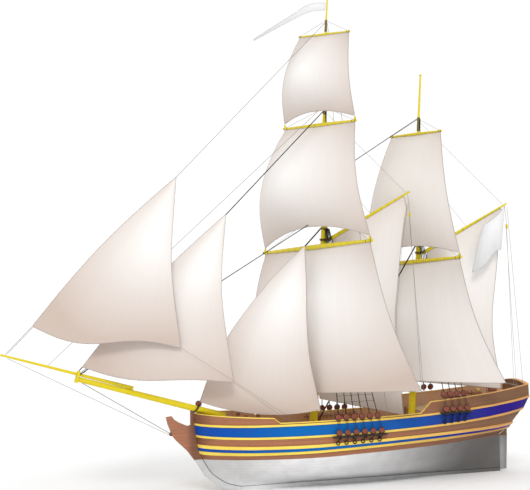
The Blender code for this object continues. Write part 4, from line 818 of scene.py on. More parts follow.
def rope_tree():
    """Turns paths into laid rope: lobes wind round each path, and a map runs along and round it."""
    inputs = [("Radius", "Float", 0.02), ("Step", "Float", 0.2), ("Turns", "Float", 1.5), ("Lobes", "Float", 0.12),
              ("Sides", "Int", 9), ("Material", "Material", None)]
    tree, given, sink = geometry_tree("laid_rope", inputs)
    path = put(tree, "GeometryNodeMeshToCurve", {0: given["Geometry"]})
    even = put(tree, "GeometryNodeResampleCurve", {"Curve": path.outputs[0], "Length": given["Step"]}, mode="LENGTH")
    along = put(tree, "GeometryNodeSplineParameter").outputs["Length"]
    tilt = times(times(along, given["Turns"]), 2 * pi)
    wound = put(tree, "GeometryNodeSetCurveTilt", {"Curve": even.outputs[0], "Tilt": tilt})
    path_kept = kept_value(tree, wound.outputs[0], "Along", along)
    circle = put(tree, "GeometryNodeCurvePrimitiveCircle", {"Resolution": given["Sides"], "Radius": given["Radius"]})
    share = put(tree, "GeometryNodeSplineParameter").outputs["Factor"]
    lobe = math_node("COSINE", times(share, 6 * pi))
    swell = math_node("MULTIPLY_ADD", lobe, given["Lobes"], 1.0)
    place = put(tree, "GeometryNodeInputPosition").outputs[0]
    pushed = put(tree, "ShaderNodeVectorMath", {0: place, "Scale": swell}, operation="SCALE").outputs[0]
    profile = put(tree, "GeometryNodeSetPosition", {"Geometry": circle.outputs[0], "Position": pushed})
    round_kept = kept_value(tree, profile.outputs[0], "Round", share)
    tube = put(tree, "GeometryNodeCurveToMesh", {"Curve": path_kept["Geometry"],
                                                 "Profile Curve": round_kept["Geometry"], "Fill Caps": True})
    both = put(tree, "ShaderNodeCombineXYZ", {0: path_kept["Along"], 1: round_kept["Round"]})
    values = {"Geometry": tube.outputs[0], "Name": "rope", "Value": both.outputs[0]}
    mapped = put(tree, "GeometryNodeStoreNamedAttribute", values, data_type="FLOAT2", domain="CORNER")
    end_tree(tree, sink, mapped.outputs[0], given["Material"])
    return tree


def place_tree():
    """Sets a copy of one shape on each point, turned and sized by the point's own values."""
    inputs = [("Shape", "Object", None), ("Size", "Float", 1.0), ("Material", "Material", None)]
    tree, given, sink = geometry_tree("set_on_points", inputs)
    shape = put(tree, "GeometryNodeObjectInfo", {"Object": given["Shape"]})
    turn, grow = [put(tree, "GeometryNodeInputNamedAttribute", {"Name": name}, data_type="FLOAT_VECTOR").outputs[0]
                  for name in ("turn", "grow")]
    sized = put(tree, "ShaderNodeVectorMath", {0: grow, "Scale": given["Size"]}, operation="SCALE").outputs[0]
    values = {"Points": given["Geometry"], "Instance": shape.outputs["Geometry"], "Rotation": turn, "Scale": sized}
    copies = put(tree, "GeometryNodeInstanceOnPoints", values)
    end_tree(tree, sink, copies.outputs[0], given["Material"])
    return tree


def fair_tree():
    """Shades a faceted hull or spar as the smooth surface it stands for, and keeps its sharp edges."""
    tree, given, sink = geometry_tree("fair_shading", [("Angle", "Float", radians(35))])
    joined = put(tree, "GeometryNodeMergeByDistance", {"Geometry": given["Geometry"], "Distance": 0.0002})
    faces = put(tree, "GeometryNodeSetShadeSmooth", {0: joined.outputs[0], "Shade Smooth": True}, domain="FACE")
    angle = put(tree, "GeometryNodeInputMeshEdgeAngle").outputs[0]
    soft = put(tree, "FunctionNodeCompare", {0: angle, 1: given["Angle"]}, data_type="FLOAT", operation="LESS_EQUAL")
    values = {0: faces.outputs[0], "Shade Smooth": soft.outputs[0]}
    edges = put(tree, "GeometryNodeSetShadeSmooth", values, domain="EDGE")
    tree.links.new(edges.outputs[0], sink.inputs[0])
    return tree


TREE_MAKERS = {"laid_rope": rope_tree, "set_on_points": place_tree, "fair_shading": fair_tree}


def give_tree(thing, name, values):
    """Puts a Geometry Nodes modifier on an object and sets its named inputs."""
    tree = bpy.data.node_groups.get(name) or TREE_MAKERS[name]()
    made = thing.modifiers.new(name, "NODES")
    made.node_group = tree
    sockets = {item.name: item.identifier for item in tree.interface.items_tree if item.in_out == "INPUT"}
    for label, value in values.items():
        made[sockets[label]] = value


# Pieces


def out_from(axis, k, count, squash=1.0):
    """Direction out from an axis, at step k of count round it."""
    side = axis.orthogonal().normalized()
    return side * cos(2 * pi * k / count) + axis.cross(side) * sin(2 * pi * k / count) * squash


class Mould:
    """Points and faces of a piece, collected shape by shape."""

    def __init__(self):
        self.points = []
        self.faces = []

    def add(self, points, faces):
        first = len(self.points)
        self.points += [Vector(p) for p in points]
        self.faces += [[first + i for i in face] for face in faces]

    def rings(self, rings):
        """Skin over rings of equal length, with both ends capped."""
        size = len(rings[0])
        faces = [list(range(size)), [len(rings) * size - 1 - k for k in range(size)]]
        for j in range(len(rings) - 1):
            for k in range(size):
                a, b = j * size + k, j * size + (k + 1) % size
                faces.append([a, b, b + size, a + size])
        self.add([p for ring in rings for p in ring], faces)

    def box(self, low, high):
        """A box between two corners."""
        self.rings([[(low[0], low[1], z), (high[0], low[1], z), (high[0], high[1], z), (low[0], high[1], z)]
                    for z in (low[2], high[2])])

    def lathe(self, centre, axis, profile, sides=16):
        """A turned shape: profile rows are (distance along the axis, radius)."""
        axis = Vector(axis).normalized()
        self.rings([[Vector(centre) + axis * h + out_from(axis, k, sides) * r for k in range(sides)]
                    for h, r in profile])

    def bar(self, start, end, radius, sides=8):
        """A round bar between two points."""
        run = Vector(end) - Vector(start)
        self.lathe(start, run, [(0.0, radius), (run.length, radius)], sides)

    def hoop(self, centre, axis, radius, thick, sides=20, around=6, squash=1.0):
        """A ring of round section."""
        axis = Vector(axis).normalized()
        points = []
        for k in range(sides):
            out = out_from(axis, k, sides, squash)
            for m in range(around):
                angle = 2 * pi * m / around
                points.append(Vector(centre) + out * radius + out.normalized() * thick * cos(angle)
                              + axis * thick * sin(angle))
        faces = []
        for k in range(sides):
            for m in range(around):
                a, b = k * around + m, k * around + (m + 1) % around
                c, d = (b + around) % (sides * around), (a + around) % (sides * around)
                faces.append([a, b, c, d])
        self.add(points, faces)


def mesh_of(name, mould):
    """The mesh of a mould, whose faces point outwards."""
    mesh = bpy.data.meshes.new(name)
    mesh.from_pydata([tuple(p) for p in mould.points], [], mould.faces)
    shape = bmesh.new()
    shape.from_mesh(mesh)
    bmesh.ops.remove_doubles(shape, verts=shape.verts, dist=0.00005)
    bmesh.ops.recalc_face_normals(shape, faces=shape.faces)
    shape.to_mesh(mesh)
    shape.free()
    mesh.update()
    return mesh


def link(name, data, material=None):
    """An object in the scene for a mesh, a light or a camera."""
    made = bpy.data.objects.new(name, data)
    bpy.context.scene.collection.objects.link(made)
    if material:
        data.materials.clear()
        data.materials.append(material)
    return made


def settled(made, smooth=None):
    """Turns what an object's modifiers make of it into its plain mesh."""
    bpy.context.view_layer.update()
    graph = bpy.context.evaluated_depsgraph_get()
    mesh = bpy.data.meshes.new_from_object(made.evaluated_get(graph))
    made.modifiers.clear()
    made.data = mesh
    if smooth is not None:
        mesh.polygons.foreach_set("use_smooth", [True] * len(mesh.polygons))
        mesh.set_sharp_from_angle(angle=radians(smooth))
    return made


def soften(made, width, angle):
    """Bevels the edges that are sharper than an angle."""
    soft = made.modifiers.new("edges", "BEVEL")
    soft.width = width
    soft.segments = 2
    soft.limit_method = "ANGLE"
    soft.angle_limit = radians(angle)


def piece(name, mould, material, body="ship", bevel=0.0):
    """A finished piece from a mould, with softened edges, riding on a body."""
    made = link(name, mesh_of(name, mould), material)
    if bevel:
        soften(made, bevel, 40)
    settled(made, 35)
    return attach(made, body)


def laid(name, paths, radius, material=None, body="ship", step=None, turns=None, lobes=0.12, sides=9):
    """Ropes along paths, tarred unless told otherwise, on one body, or on none where body is None."""
    points = []
    edges = []
    for path in paths:
        first = len(points)
        points += [tuple(p) for p in path]
        edges += [(first + i, first + i + 1) for i in range(len(path) - 1)]
    mesh = bpy.data.meshes.new(name)
    mesh.from_pydata(points, edges, [])
    made = link(name, mesh)
    pitch = 9 * radius
    values = {"Radius": radius, "Step": step or pitch / 6, "Turns": 1 / pitch if turns is None else turns,
              "Lobes": lobes, "Sides": sides, "Material": material or tarred()}
    give_tree(made, "laid_rope", values)
    settled(made)
    made.data.name = name
    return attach(made, body) if body else made


def thin_line(name, paths, body="ship", radius=None, material=None, step=0.6, sides=6):
    """Plain round lines that show their lay in the material only."""
    return laid(name, paths, radius or sizes().line, material or hemp(), body, step, 0.0, 0.0, sides)


def placed(name, shape, places, material, body="ship"):
    """Copies of a shape, each place being a point, a turn as a matrix or None, and a size or three."""
    mesh = bpy.data.meshes.new(name)
    mesh.from_pydata([tuple(place[0]) for place in places], [], [])
    turns = mesh.attributes.new("turn", "FLOAT_VECTOR", "POINT")
    grows = mesh.attributes.new("grow", "FLOAT_VECTOR", "POINT")
    for k, (_, turn, grow) in enumerate(places):
        turns.data[k].vector = turn.to_euler() if turn is not None else (0.0, 0.0, 0.0)
        grows.data[k].vector = grow if hasattr(grow, "__len__") else (grow,) * 3
    made = link(name, mesh)
    model = link(name + "_shape", mesh_of(name + "_shape", shape))
    give_tree(made, "set_on_points", {"Shape": model, "Size": 1.0, "Material": material})
    settled(made, 40)
    bpy.data.objects.remove(model)
    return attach(made, body)


def turned_to(direction):
    """Matrix that turns +Z to a direction."""
    return Vector(direction).normalized().to_track_quat("Z", "Y").to_matrix()


def lying_on(along):
    """Directions across and out of something flat that leans along a rope, and the matrix of all three."""
    across = (FORE - along * along.x).normalized()
    facing = across.cross(along)
    return across, facing, Matrix((across, along, facing)).transposed()


def looped(centre, across, along, radius, start=0.0):
    """Path of a loop of rope round a flat shape."""
    angles = [start + 2 * pi * k / 16 for k in range(17)]
    return [centre + (across * cos(a) + along * sin(a)) * radius for a in angles]


HULLS = {}


def meet(name, start, direction):
    """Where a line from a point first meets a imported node, and the surface's direction there."""
    if name not in HULLS:
        mesh = NODES[name].data
        HULLS[name] = BVHTree.FromPolygons([v.co for v in mesh.vertices], [f.vertices for f in mesh.polygons])
    place, facing, _, _ = HULLS[name].ray_cast(Vector(start), Vector(direction).normalized())
    if place is None:
        raise RuntimeError(f"no point of {name} was met from {tuple(start)}")
    return place, facing


def beside(name, x, side, z):
    """Point of a CAD node's outer side at an X and Z, or None."""
    try:
        return meet(name, (x, side * 6.0, z), (0, -side, 0))[0]
    except RuntimeError:
        return None


def section(x, y, z, side, corners):
    """Points of a section across the ship, given as (outward, up) from a place."""
    return [(x, side * (y + out), z + rise) for out, rise in corners]


def spun(centre, axis, radius, turns, pitch, steps=14):
    """Path of a rope wound round something."""
    axis = Vector(axis).normalized()
    return [Vector(centre) + axis * pitch * k / steps + out_from(axis, k, steps) * radius
            for k in range(int(turns * steps) + 1)]


# Spars and cloth shapes


def stick_axis(name, z):
    """Middle of a stick at a height."""
    foot, rake = STICKS[name][:2]
    return Vector((foot - rake * (z - MAST_FOOT_Z), 0.0, z))


def stick_radius(name, z):
    """Radius of a stick at a height."""
    _, _, low, high, at_low, at_high = STICKS[name]
    f = min(max((z - low) / (high - low), 0.0), 1.0)
    return at_low + (at_high - at_low) * f


def stick_up(name):
    """Direction up a raked stick."""
    return Vector((-STICKS[name][1], 0.0, 1.0)).normalized()


def yard_middle(name, s):
    """Point inside a yard at s metres to port of its middle."""
    return Vector(YARDS[name][0]) + Vector(YARDS[name][1]) * s


def yard_radius(name, s):
    """Radius of a yard at s metres to port of its middle."""
    _, _, starboard, port, radius, _ = YARDS[name]
    return radius * (1 - (1 - ARM_SHARE) * min(1.0, abs(s) / (port if s > 0 else starboard)))


def yard_at(name, s, out=0.0, direction=UP):
    """Point of a yard at s metres to port of its middle, pushed out from its surface."""
    return yard_middle(name, s) + Vector(direction) * (yard_radius(name, s) + out)


def under_yard(name, s):
    """Point just under a yard, where a sail's head is bent to it."""
    along = Vector(YARDS[name][1])
    return yard_at(name, s, 0.001, (-UP + along * along.z).normalized())


def curve_point(points, s):
    """Point at s, from 0 to 1, on a smooth curve through the given points."""
    last = len(points) - 2
    k = min(int(s * (last + 1)), last)
    a, b = Vector(points[k]), Vector(points[k + 1])
    ta = (b - Vector(points[k - 1])) / 2 if k > 0 else b - a
    tb = (Vector(points[k + 2]) - a) / 2 if k < last else b - a
    f = s * (last + 1) - k
    return (a * (1 + 2 * f) * (1 - f) ** 2 + ta * f * (1 - f) ** 2
            + b * f * f * (3 - 2 * f) + tb * f * f * (f - 1))


def square_corners(name):
    """Heads and clews of a square sail, starboard first."""
    yard, lower = SQUARE_SAILS[name][:2]
    heads = [-YARDS[yard][2] * CLEW_SHARE, YARDS[yard][3] * CLEW_SHARE]
    if isinstance(lower, str):
        centre, along = Vector(YARDS[lower][0]), Vector(YARDS[lower][1])
        clews = [centre + along * reach * CLEW_SHARE + UP * CLEW_LIFT
                 for reach in (-YARDS[lower][2], YARDS[lower][3])]
    else:
        clews = [Vector(p) for p in lower]
    return heads, clews


# Shares of a sail: its head follows the yard or gaff, and then eases into the free cloth
HEAD_BAND = 0.015
HEAD_EASE = 0.10
GAFF_EASE = 1 / 9


def square_point(name, v, w):
    """Point of a square sail: v down from the head, w across from starboard."""
    yard, _, to_starboard, to_port, belly, foot_belly, foot_rise = SQUARE_SAILS[name]
    heads, clews = square_corners(name)
    if v < HEAD_EASE:
        on_yard = under_yard(yard, abs(2 * w - 1) * heads[0 if w < 0.5 else 1])
        if v <= HEAD_BAND:
            on_yard.z -= v * (under_yard(yard, heads[0]).z - clews[0].z)
            return on_yard
        top = square_point(name, HEAD_BAND, w)
        return top.lerp(square_point(name, HEAD_EASE, w), (v - HEAD_BAND) / (HEAD_EASE - HEAD_BAND))
    starboard = under_yard(yard, heads[0]).lerp(clews[0], v)
    port = under_yard(yard, heads[1]).lerp(clews[1], v)
    starboard.x += to_starboard * sin(pi * v)
    port.x += to_port * sin(pi * v)
    depth = foot_belly * v * v + (belly - foot_belly * 0.25) * sin(pi * v)
    chord = port - starboard
    forward = Vector((chord.y, -chord.x, 0.0)).normalized()
    point = starboard.lerp(port, w) + forward * depth * 4 * w * (1 - w)
    point.z += foot_rise * v ** 3 * 4 * w * (1 - w)
    return point


def under_gaff(name, share):
    """Point just under a gaff, at a share of its length from the jaws."""
    _, _, jaw, peak, radius = GAFFS[name]
    jaw, peak = Vector(jaw), Vector(peak)
    slant = (peak - jaw).normalized()
    down = (slant * slant.z - UP).normalized()
    return jaw.lerp(peak, share) + down * (radius * (1 - 0.5 * share) + 0.001)


def gaff_point(name, v, w):
    """Point of a gaff sail: v down from the gaff, w out from the mast."""
    gaff, leech, tack_z, belly = GAFF_SAILS[name]
    stick, jaw_z, jaw, peak, _ = GAFFS[gaff]
    if v < GAFF_EASE:
        if v <= HEAD_BAND:
            return under_gaff(gaff, 0.05 + 0.88 * w) - UP * v * jaw_z
        top = gaff_point(name, HEAD_BAND, w)
        return top.lerp(gaff_point(name, GAFF_EASE, w), (v - HEAD_BAND) / (GAFF_EASE - HEAD_BAND))
    corners = [Vector(peak)] + [Vector(p) for p in leech]
    flat = (Vector(peak) - Vector(jaw)).to_2d().to_3d().normalized()
    tack_out = (corners[-1] - stick_axis(stick, corners[-1].z)).to_2d().to_3d().normalized()
    luff_z = jaw_z - 0.34 + (tack_z - jaw_z + 0.34) * v
    luff = stick_axis(stick, luff_z) + flat.lerp(tack_out, v).normalized() * (stick_radius(stick, luff_z) + 0.06)
    edge = curve_point(corners, v)
    side = Vector((-(edge - luff).y, (edge - luff).x, 0.0)).normalized()
    if side.y < 0:
        side = -side
    return luff.lerp(edge, w) + side * belly * sin(pi * v) * 4 * w * (1 - w)


def on_stay(name, z):
    """Point of a stay at a height."""
    points = [Vector((x, 0.0, height)) for x, height in STAYS[name][1]]
    k = max((i for i in range(len(points) - 1) if points[i].z >= z), default=0)
    return points[k].lerp(points[k + 1], (points[k].z - z) / (points[k].z - points[k + 1].z))


# How far a headsail's luff bows ahead of its stay
LUFF_SAG = 0.40


def head_point(name, v, w):
    """Point of a headsail: v down its stay, w from the luff to the leech."""
    stay, (high, low), leech, belly, drop, near_tack = HEADSAILS[name]
    head = on_stay(stay, high) + Vector((0.06, 0.12, -0.15))
    edge = curve_point([head] + [Vector(p) for p in leech], v)
    run = (on_stay(stay, low) - on_stay(stay, high)).normalized()
    away = Vector(leech[-1]) - on_stay(stay, low)
    away = (away - run * away.dot(run)).normalized()
    clear = PORT * (STAYS[stay][0] + 0.035) - away * STAYS[stay][0]
    luff = on_stay(stay, high + (low - high) * v) + clear - away * LUFF_SAG * sin(pi * v)
    point = luff.lerp(edge, w)
    full = 4 * w * (1 - w)
    point.y += belly * full * (sin(pi * v ** 0.8) * (1 - 0.4 * w) + 0.5 * v * v)
    point.z -= v ** 4 * (drop * full + near_tack * sin(2 * pi * w))
    return point


def flag_point(name, v, w):
    """Point of a flag: v from the upper edge down, w from the hoist to the fly."""
    upper, lower = FLAGS[name]
    point = curve_point(upper, w).lerp(curve_point(lower, w), v)
    ripple = 0.10 * sin(3 * pi * w) * sin(pi * min(1.0, w * 3) / 2)
    return point + PORT * ripple * (1.0 if name == "ensign" else 0.5)


FLAG_ROPE = 0.012
BOLT_ROPE_COLOUR = [0.64, 0.56, 0.51]


def lengths_along(points):
    """Distance from the first point to each, along a path."""
    run = [0.0]
    for a, b in zip(points, points[1:]):
        run.append(run[-1] + (b - a).length)
    return run


def cloth_piece(name, point_of, body, glow, across=None, down=None, thick=None, key="sailcloth"):
    """A sail or flag: its cloth with a metre map and its edge rope."""
    across = across or sizes().grid
    down = down or sizes().grid
    grid = [[point_of(name, j / down, i / across) for i in range(across + 1)] for j in range(down + 1)]
    size = across + 1
    faces = [(j * size + i, j * size + i + 1, (j + 1) * size + i + 1, (j + 1) * size + i)
             for j in range(down) for i in range(across)]
    mesh = bpy.data.meshes.new(name)
    mesh.from_pydata([tuple(p) for row in grid for p in row], [], faces)
    run_across = max((lengths_along(row) for row in grid), key=lambda run: run[-1])
    run_down = lengths_along([row[size // 2] for row in grid])
    metres = mesh.uv_layers.new(name="cloth")
    for loop in mesh.loops:
        j, i = divmod(loop.vertex_index, size)
        metres.data[loop.index].uv = (run_across[i], run_down[j])
    # Painted highlight: each point is brightest near the listed spot and fades outward, with painted light added
    # toward the foot, which faces down into shade.
    light = mesh.attributes.new("glow", "FLOAT", "POINT")
    centre_across, centre_down, spread_across, spread_down = glow
    for k, spot in enumerate(light.data):
        j, i = divmod(k, size)
        far = hypot((i / across - centre_across) / spread_across, (j / down - centre_down) / spread_down)
        spot.value = min(1.0, 0.96 * max(0.0, 1.0 - far) ** 0.85 + 0.10 * (j / down) ** 2)
    made = link(name + "_cloth", mesh, cloth_material(key))
    wall = made.modifiers.new("cloth", "SOLIDIFY")
    wall.thickness = thick or sizes().cloth_thickness
    wall.offset = 0.0
    settled(made, 60)
    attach(made, body)
    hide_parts(name)
    border = grid[0] + [row[-1] for row in grid[1:]] + grid[-1][-2::-1] + [row[0] for row in grid[-2::-1]]
    kept = [border[0]]
    for point in border[1:]:
        if (point - kept[-1]).length > 0.02:
            kept.append(point)
    radius = sizes().bolt_rope if key == "sailcloth" else FLAG_ROPE
    edge = laid(name + "_bolt_rope", [kept], radius, rope_material("bolt_rope", BOLT_ROPE_COLOUR, 6.0), body,
                0.22, 1.0, 0.06, 6)
    return made


# Operators


def fair(name, material, bevel=0.0):
    """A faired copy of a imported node, which stands for it: joined skin, smooth shading, soft edges."""
    node = NODES[name]
    made = link(name + "_faired", node.data.copy(), material)
    give_tree(made, "fair_shading", {"Angle": radians(35)})
    settled(made)
    if bevel:
        soften(made, bevel, 50)
        settled(made, 35)
    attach(made, body_of(node)[0])
    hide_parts(name)
    return made


class SHIP_OT_paint(bpy.types.Operator):
    """Fair and paint the hull, its mouldings, its decks and its spars"""

    bl_idname = "ship.paint"
    bl_label = "Paint"

    def execute(self, context):
        pick = colours()
        blue = band_material("blue_band", pick.blue_fore, pick.blue_aft, pick.blue_middle)
        upright, level = spar_material("mast_paint", 1.0), spar_material("spar_paint", 0.0)
        faired = (
            (topsides_material(), 0.0, ["hull_topsides"]),
            (oak_material(), 0.0, ["bulwark_port", "bulwark_starboard", "transom"]),
            (bottom_material("bottom_and_oak", True), 0.0, ["hull_bottom"]),
            (bottom_material("stem_and_keel", True), 0.02, ["stem_knee", "rudder"]),
            (yellow_moulding(), 0.0, ["wale_lower", "wale_upper", "sheer_moulding", "rail_strake"]),
            (blue, 0.0, ["wale_band", "sheer_band"]),
            (joinery_material(), 0.015, ["main_hatch", "companion", "bowsprit_bitts"]),
            (upright, 0.0, ["main_lower_mast", "main_topmast", "main_topgallant_mast", "mizzen_lower_mast",
                            "mizzen_topmast"]),
            (level, 0.0, ["bowsprit", "jibboom", "main_gaff", "mizzen_gaff", *YARDS]),
            (level, 0.012, ["main_top", "mizzen_top", "main_crosstrees", "bowsprit_cap"]),
        )
        for material, bevel, names in faired:
            for name in names:
                fair(name, material, bevel)
        for material, names in ((bottom_material(), ["keel"]), (deck_material(), ["forecastle_deck", "quarterdeck"])):
            for name in names:
                NODES[name].data.materials.clear()
                NODES[name].data.materials.append(material)
        return {"FINISHED"}


class SHIP_OT_sails(bpy.types.Operator):
    """Set the square sails, the gaff sails and the headsails"""

    bl_idname = "ship.sails"
    bl_label = "Sails"

    def execute(self, context):
        for sails, point_of, held in ((SQUARE_SAILS, square_point, "stretched"), (GAFF_SAILS, gaff_point, "hung"),
                                      (HEADSAILS, head_point, "stretched")):
            for name, row in sails.items():
                body = "ship" if sails is HEADSAILS else row[0]
                cloth_piece(name, point_of, body, GLOW[name])
        return {"FINISHED"}


class SHIP_OT_flags(bpy.types.Operator):
    """Hoist the pennant and the ensign"""

    bl_idname = "ship.flags"
    bl_label = "Flags"

    def execute(self, context):
        cloth_piece("pennant", flag_point, "ship", (0.1, 0.3, 0.95, 1.2),
                    40, 8, 0.006, "bunting")
        cloth_piece("ensign", flag_point, "mizzen_gaff", (0.35, 0.20, 1.0, 0.85),
                    30, 20, 0.006, "bunting")
        return {"FINISHED"}


class SHIP_OT_stays(bpy.types.Operator):
    """Lay up the stays, the thinner stays beside them and the bobstays"""

    bl_idname = "ship.stays"
    bl_label = "Stays"

    def execute(self, context):
        for name, (radius, points) in STAYS.items():
            path = [Vector((x, 0.0, z)) for x, z in points]
            pale = name in {"main_topgallant_stay", "bobstay"}
            made = laid(name + "_rope", [path], radius * (0.8 if pale else 1.0), hemp() if pale else tarred())
            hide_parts(name)
        laid("outer_main_stay", [[(2.62, 0.14, 15.86), (9.75, 0.14, 11.75), (19.55, 0.16, 5.98)]], 0.03)
        laid("mizzen_topmast_stay", [[(-4.42, 0.0, 22.28), (2.88, 0.0, 17.9)]], 0.028)
        seams = []
        for side, _ in SIDES:
            seams.append([Vector((x, side * y, z)) for x, y, z in (
                (-9.60, 0.124, -1.952), (8.95, 0.124, -1.952), (9.50, 0.118, -1.82), (10.00, 0.115, -1.65),
                (10.50, 0.115, -1.32), (10.94, 0.115, -0.96), (11.20, 0.115, -0.60), (11.39, 0.115, -0.24),
                (11.57, 0.115, 0.08))])
        thin_line("rabbet_seams", seams, radius=0.015, material=tarred(), step=0.2)
        thin_line("middle_stay", [[(2.38, 0.0, 23.15), (21.5, 0.05, 6.72)]], radius=0.015)
        thin_line("outer_bobstay", [[(24.1, 0.0, 7.28), (13.60, 0.0, 1.68)]], radius=0.016)
        return {"FINISHED"}


def shroud_rows(name, side):
    """For each shroud of a set: its foot on the channel, its head and its chain ring."""
    first, last, ends, edges, channel_z, head_z, stick, rings = SHROUD_SETS[name]
    rows = []
    for k, (ring_x, ring_z, hull_y) in enumerate(rings):
        share = k / (len(rings) - 1)
        x = first + (last - first) * share
        edge = edges[0] + (edges[1] - edges[0]) * (x - ends[0]) / (ends[1] - ends[0])
        foot = Vector((x, side * (edge + CHANNEL_DEPTH - 0.13), channel_z))
        head = Vector((stick_axis(stick, head_z).x + 0.02 - 0.26 * share,
                       side * (stick_radius(stick, head_z - 0.1) + 0.0706), head_z))
        rows.append((foot, head, Vector((ring_x, side * (hull_y + 0.035), ring_z))))
    return rows


def deadeye_shape():
    """A deadeye of radius 1 with a groove for its strop, flat along Z."""
    shape = Mould()
    shape.lathe((0, 0, 0), UP, [(-0.32, 0.30), (-0.31, 0.72), (-0.22, 0.95), (-0.12, 1.0), (-0.05, 0.93),
                                (0.05, 0.93), (0.12, 1.0), (0.22, 0.95), (0.31, 0.72), (0.32, 0.30)], 20)
    return shape


class SHIP_OT_shrouds(bpy.types.Operator):
    """Rig the lower shrouds with deadeyes, lanyards, channels and chains"""

    bl_idname = "ship.shrouds"
    bl_label = "Shrouds"

    def execute(self, context):
        size = sizes().deadeye
        for name in SHROUD_SETS:
            for side, side_name in SIDES:
                ropes, lanyards, eyes, strops, rungs = [], [], [], [], []
                chains, rings = Mould(), Mould()
                rows = shroud_rows(name, side)
                for foot, head, ring in rows:
                    along = (head - foot).normalized()
                    across, facing, turn = lying_on(along)
                    low, high = [foot + along * up for up in DEADEYES_UP]
                    eyes += [(low, turn, size), (high, turn, size)]
                    ropes.append([high + along * size * 1.02, head])
                    strops += [looped(low, across, along, size * 1.02, -pi / 2),
                               looped(high, across, along, size * 1.02, pi / 2)]
                    holes = [across * 0.45 * size * k for k in (-1, 0, 1)]
                    for k, hole in enumerate(holes):
                        rise = along * size * (0.35 if k == 1 else -0.05)
                        for face in (-1, 1):
                            lean = holes[max(0, k - (face > 0))] - hole
                            lanyards.append([low + hole + rise + facing * face * size * 0.34,
                                             high + hole + lean - rise + facing * face * size * 0.34])
                    chains.bar(foot + along * 0.08, foot - UP * 0.06, 0.028, 6)
                    ring = ring + Vector((0.10, 0.0, -0.05))
                    ring.y = side * (self.proudest(ring, side) + 0.034)
                    chains.bar(foot - UP * 0.04, ring + Vector((-0.03, 0.0, 0.12)), 0.028, 6)
                    rings.hoop(ring, PORT, 0.115, 0.031, 24, 8)
                height = rows[0][1].z - RATLINES_CLEAR[1]
                while height > rows[0][0].z + RATLINES_CLEAR[0]:
                    line = [foot.lerp(head, (height - foot.z) / (head.z - foot.z)) for foot, head, _ in rows]
                    rungs.append([p + PORT * side * (sizes().shroud + 0.008) for p in line])
                    height -= RATLINE_STEP
                label = f"{name}_{side_name}"
                made = laid(label + "_shrouds", ropes, sizes().shroud)
                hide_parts(f"{name}_shrouds_{side_name}")
                laid(label + "_strops", strops, 0.030, sides=7)
                laid(label + "_lanyards", lanyards, 0.005, step=0.12, sides=6)
                thin_line(label + "_ratlines", rungs, radius=0.011, material=tarred())
                placed(label + "_deadeyes", deadeye_shape(), eyes, deadeye_wood())
                piece(label + "_chains", chains, iron_material())
                piece(label + "_chain_rings", rings, iron_material())
                self.channel(name, side, label)
        return {"FINISHED"}

    def proudest(self, ring, side):
        """How far the hull and its mouldings stand out beside a chain ring."""
        points = [beside(name, ring.x, side, ring.z + rise) for name in SIDE_PLANKS
                  for rise in (-0.14, -0.09, -0.04, 0.0, 0.05, 0.10, 0.14)]
        return max(abs(point.y) for point in points if point)

    def channel(self, name, side, label):
        """The plank that spreads the shrouds, with the knees under it."""
        _, _, ends, edges, z, _, _, _ = SHROUD_SETS[name]
        board = Mould()
        half = CHANNEL_THICK / 2
        rings = []
        for k in range(13):
            f = k / 12
            x, y = ends[0] + (ends[1] - ends[0]) * f, edges[0] + (edges[1] - edges[0]) * f
            reach = CHANNEL_DEPTH * (0.80 if k in (0, 12) else 1.0)
            rings.append(section(x, y, z, side, ((0.003, -half), (reach, -half), (reach, half), (0.003, half))))
        board.rings(rings)
        for k in range(4):
            f = 0.14 + 0.24 * k
            x, y = ends[0] + (ends[1] - ends[0]) * f, edges[0] + (edges[1] - edges[0]) * f
            knee = ((0.012, -half - 0.001), (0.30, -half - 0.001), (0.26, -half - 0.05), (0.02, -half - 0.20))
            board.rings([section(x + dx, y, z, side, knee) for dx in (-0.035, 0.035)])
        piece(label + "_channel", board, black_paint(), bevel=0.008)


class SHIP_OT_upper_shrouds(bpy.types.Operator):
    """Rig the topmast shrouds to the tops and the topgallant backstays"""

    bl_idname = "ship.upper_shrouds"
    bl_label = "Upper shrouds"

    def execute(self, context):
        plans = (("main", "main_topmast", 22.75, "main_top"), ("mizzen", "mizzen_topmast", 22.25, "mizzen_top"))
        for name, stick, head_z, top in plans:
            low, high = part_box(top)
            middle = (low[0] + high[0]) / 2
            rim, roof = high[1] - 0.05, high[2]
            ropes, eyes, pale = [], [], []
            head = stick_axis(stick, head_z)
            for side, _ in SIDES:
                for k in (-1, 0, 1):
                    foot = Vector((middle + 0.22 * k - 0.12, side * rim, roof + 0.02))
                    start = head + Vector((-0.03 * (k + 1) - 0.01, side * (stick_radius(stick, head_z) + 0.02), 0.0))
                    along = (start - foot).normalized()
                    across, _, turn = lying_on(along)
                    ropes.append([foot + along * 0.52, start])
                    eyes += [(foot + along * 0.10, turn, 0.085), (foot + along * 0.44, turn, 0.085)]
                    pale += [[foot + along * 0.10 + across * 0.03 * m, foot + along * 0.44 + across * 0.03 * m]
                             for m in (-1, 1)]
            laid(name + "_topmast_shrouds", ropes, 0.024, sides=7)
            placed(name + "_topmast_deadeyes", deadeye_shape(), eyes, deadeye_wood())
            thin_line(name + "_topmast_lanyards", pale, radius=0.01)
        masthead = stick_axis("main_topgallant", 28.95)
        stays = [[masthead + Vector((-0.03, side * 0.06, 0.0)), (-0.35, side * 3.30, 2.36)] for side, _ in SIDES]
        thin_line("topgallant_backstays", stays, radius=0.014)
        return {"FINISHED"}


def crossing(name, path, body, radius=0.011):
    """A rope from the ship to a moving spar; the path starts at the ship's end."""
    made = thin_line(name, [path], None, radius, step=0.5)
    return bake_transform(made, "ship", body, start=tuple(path[0]), end=tuple(path[-1]))


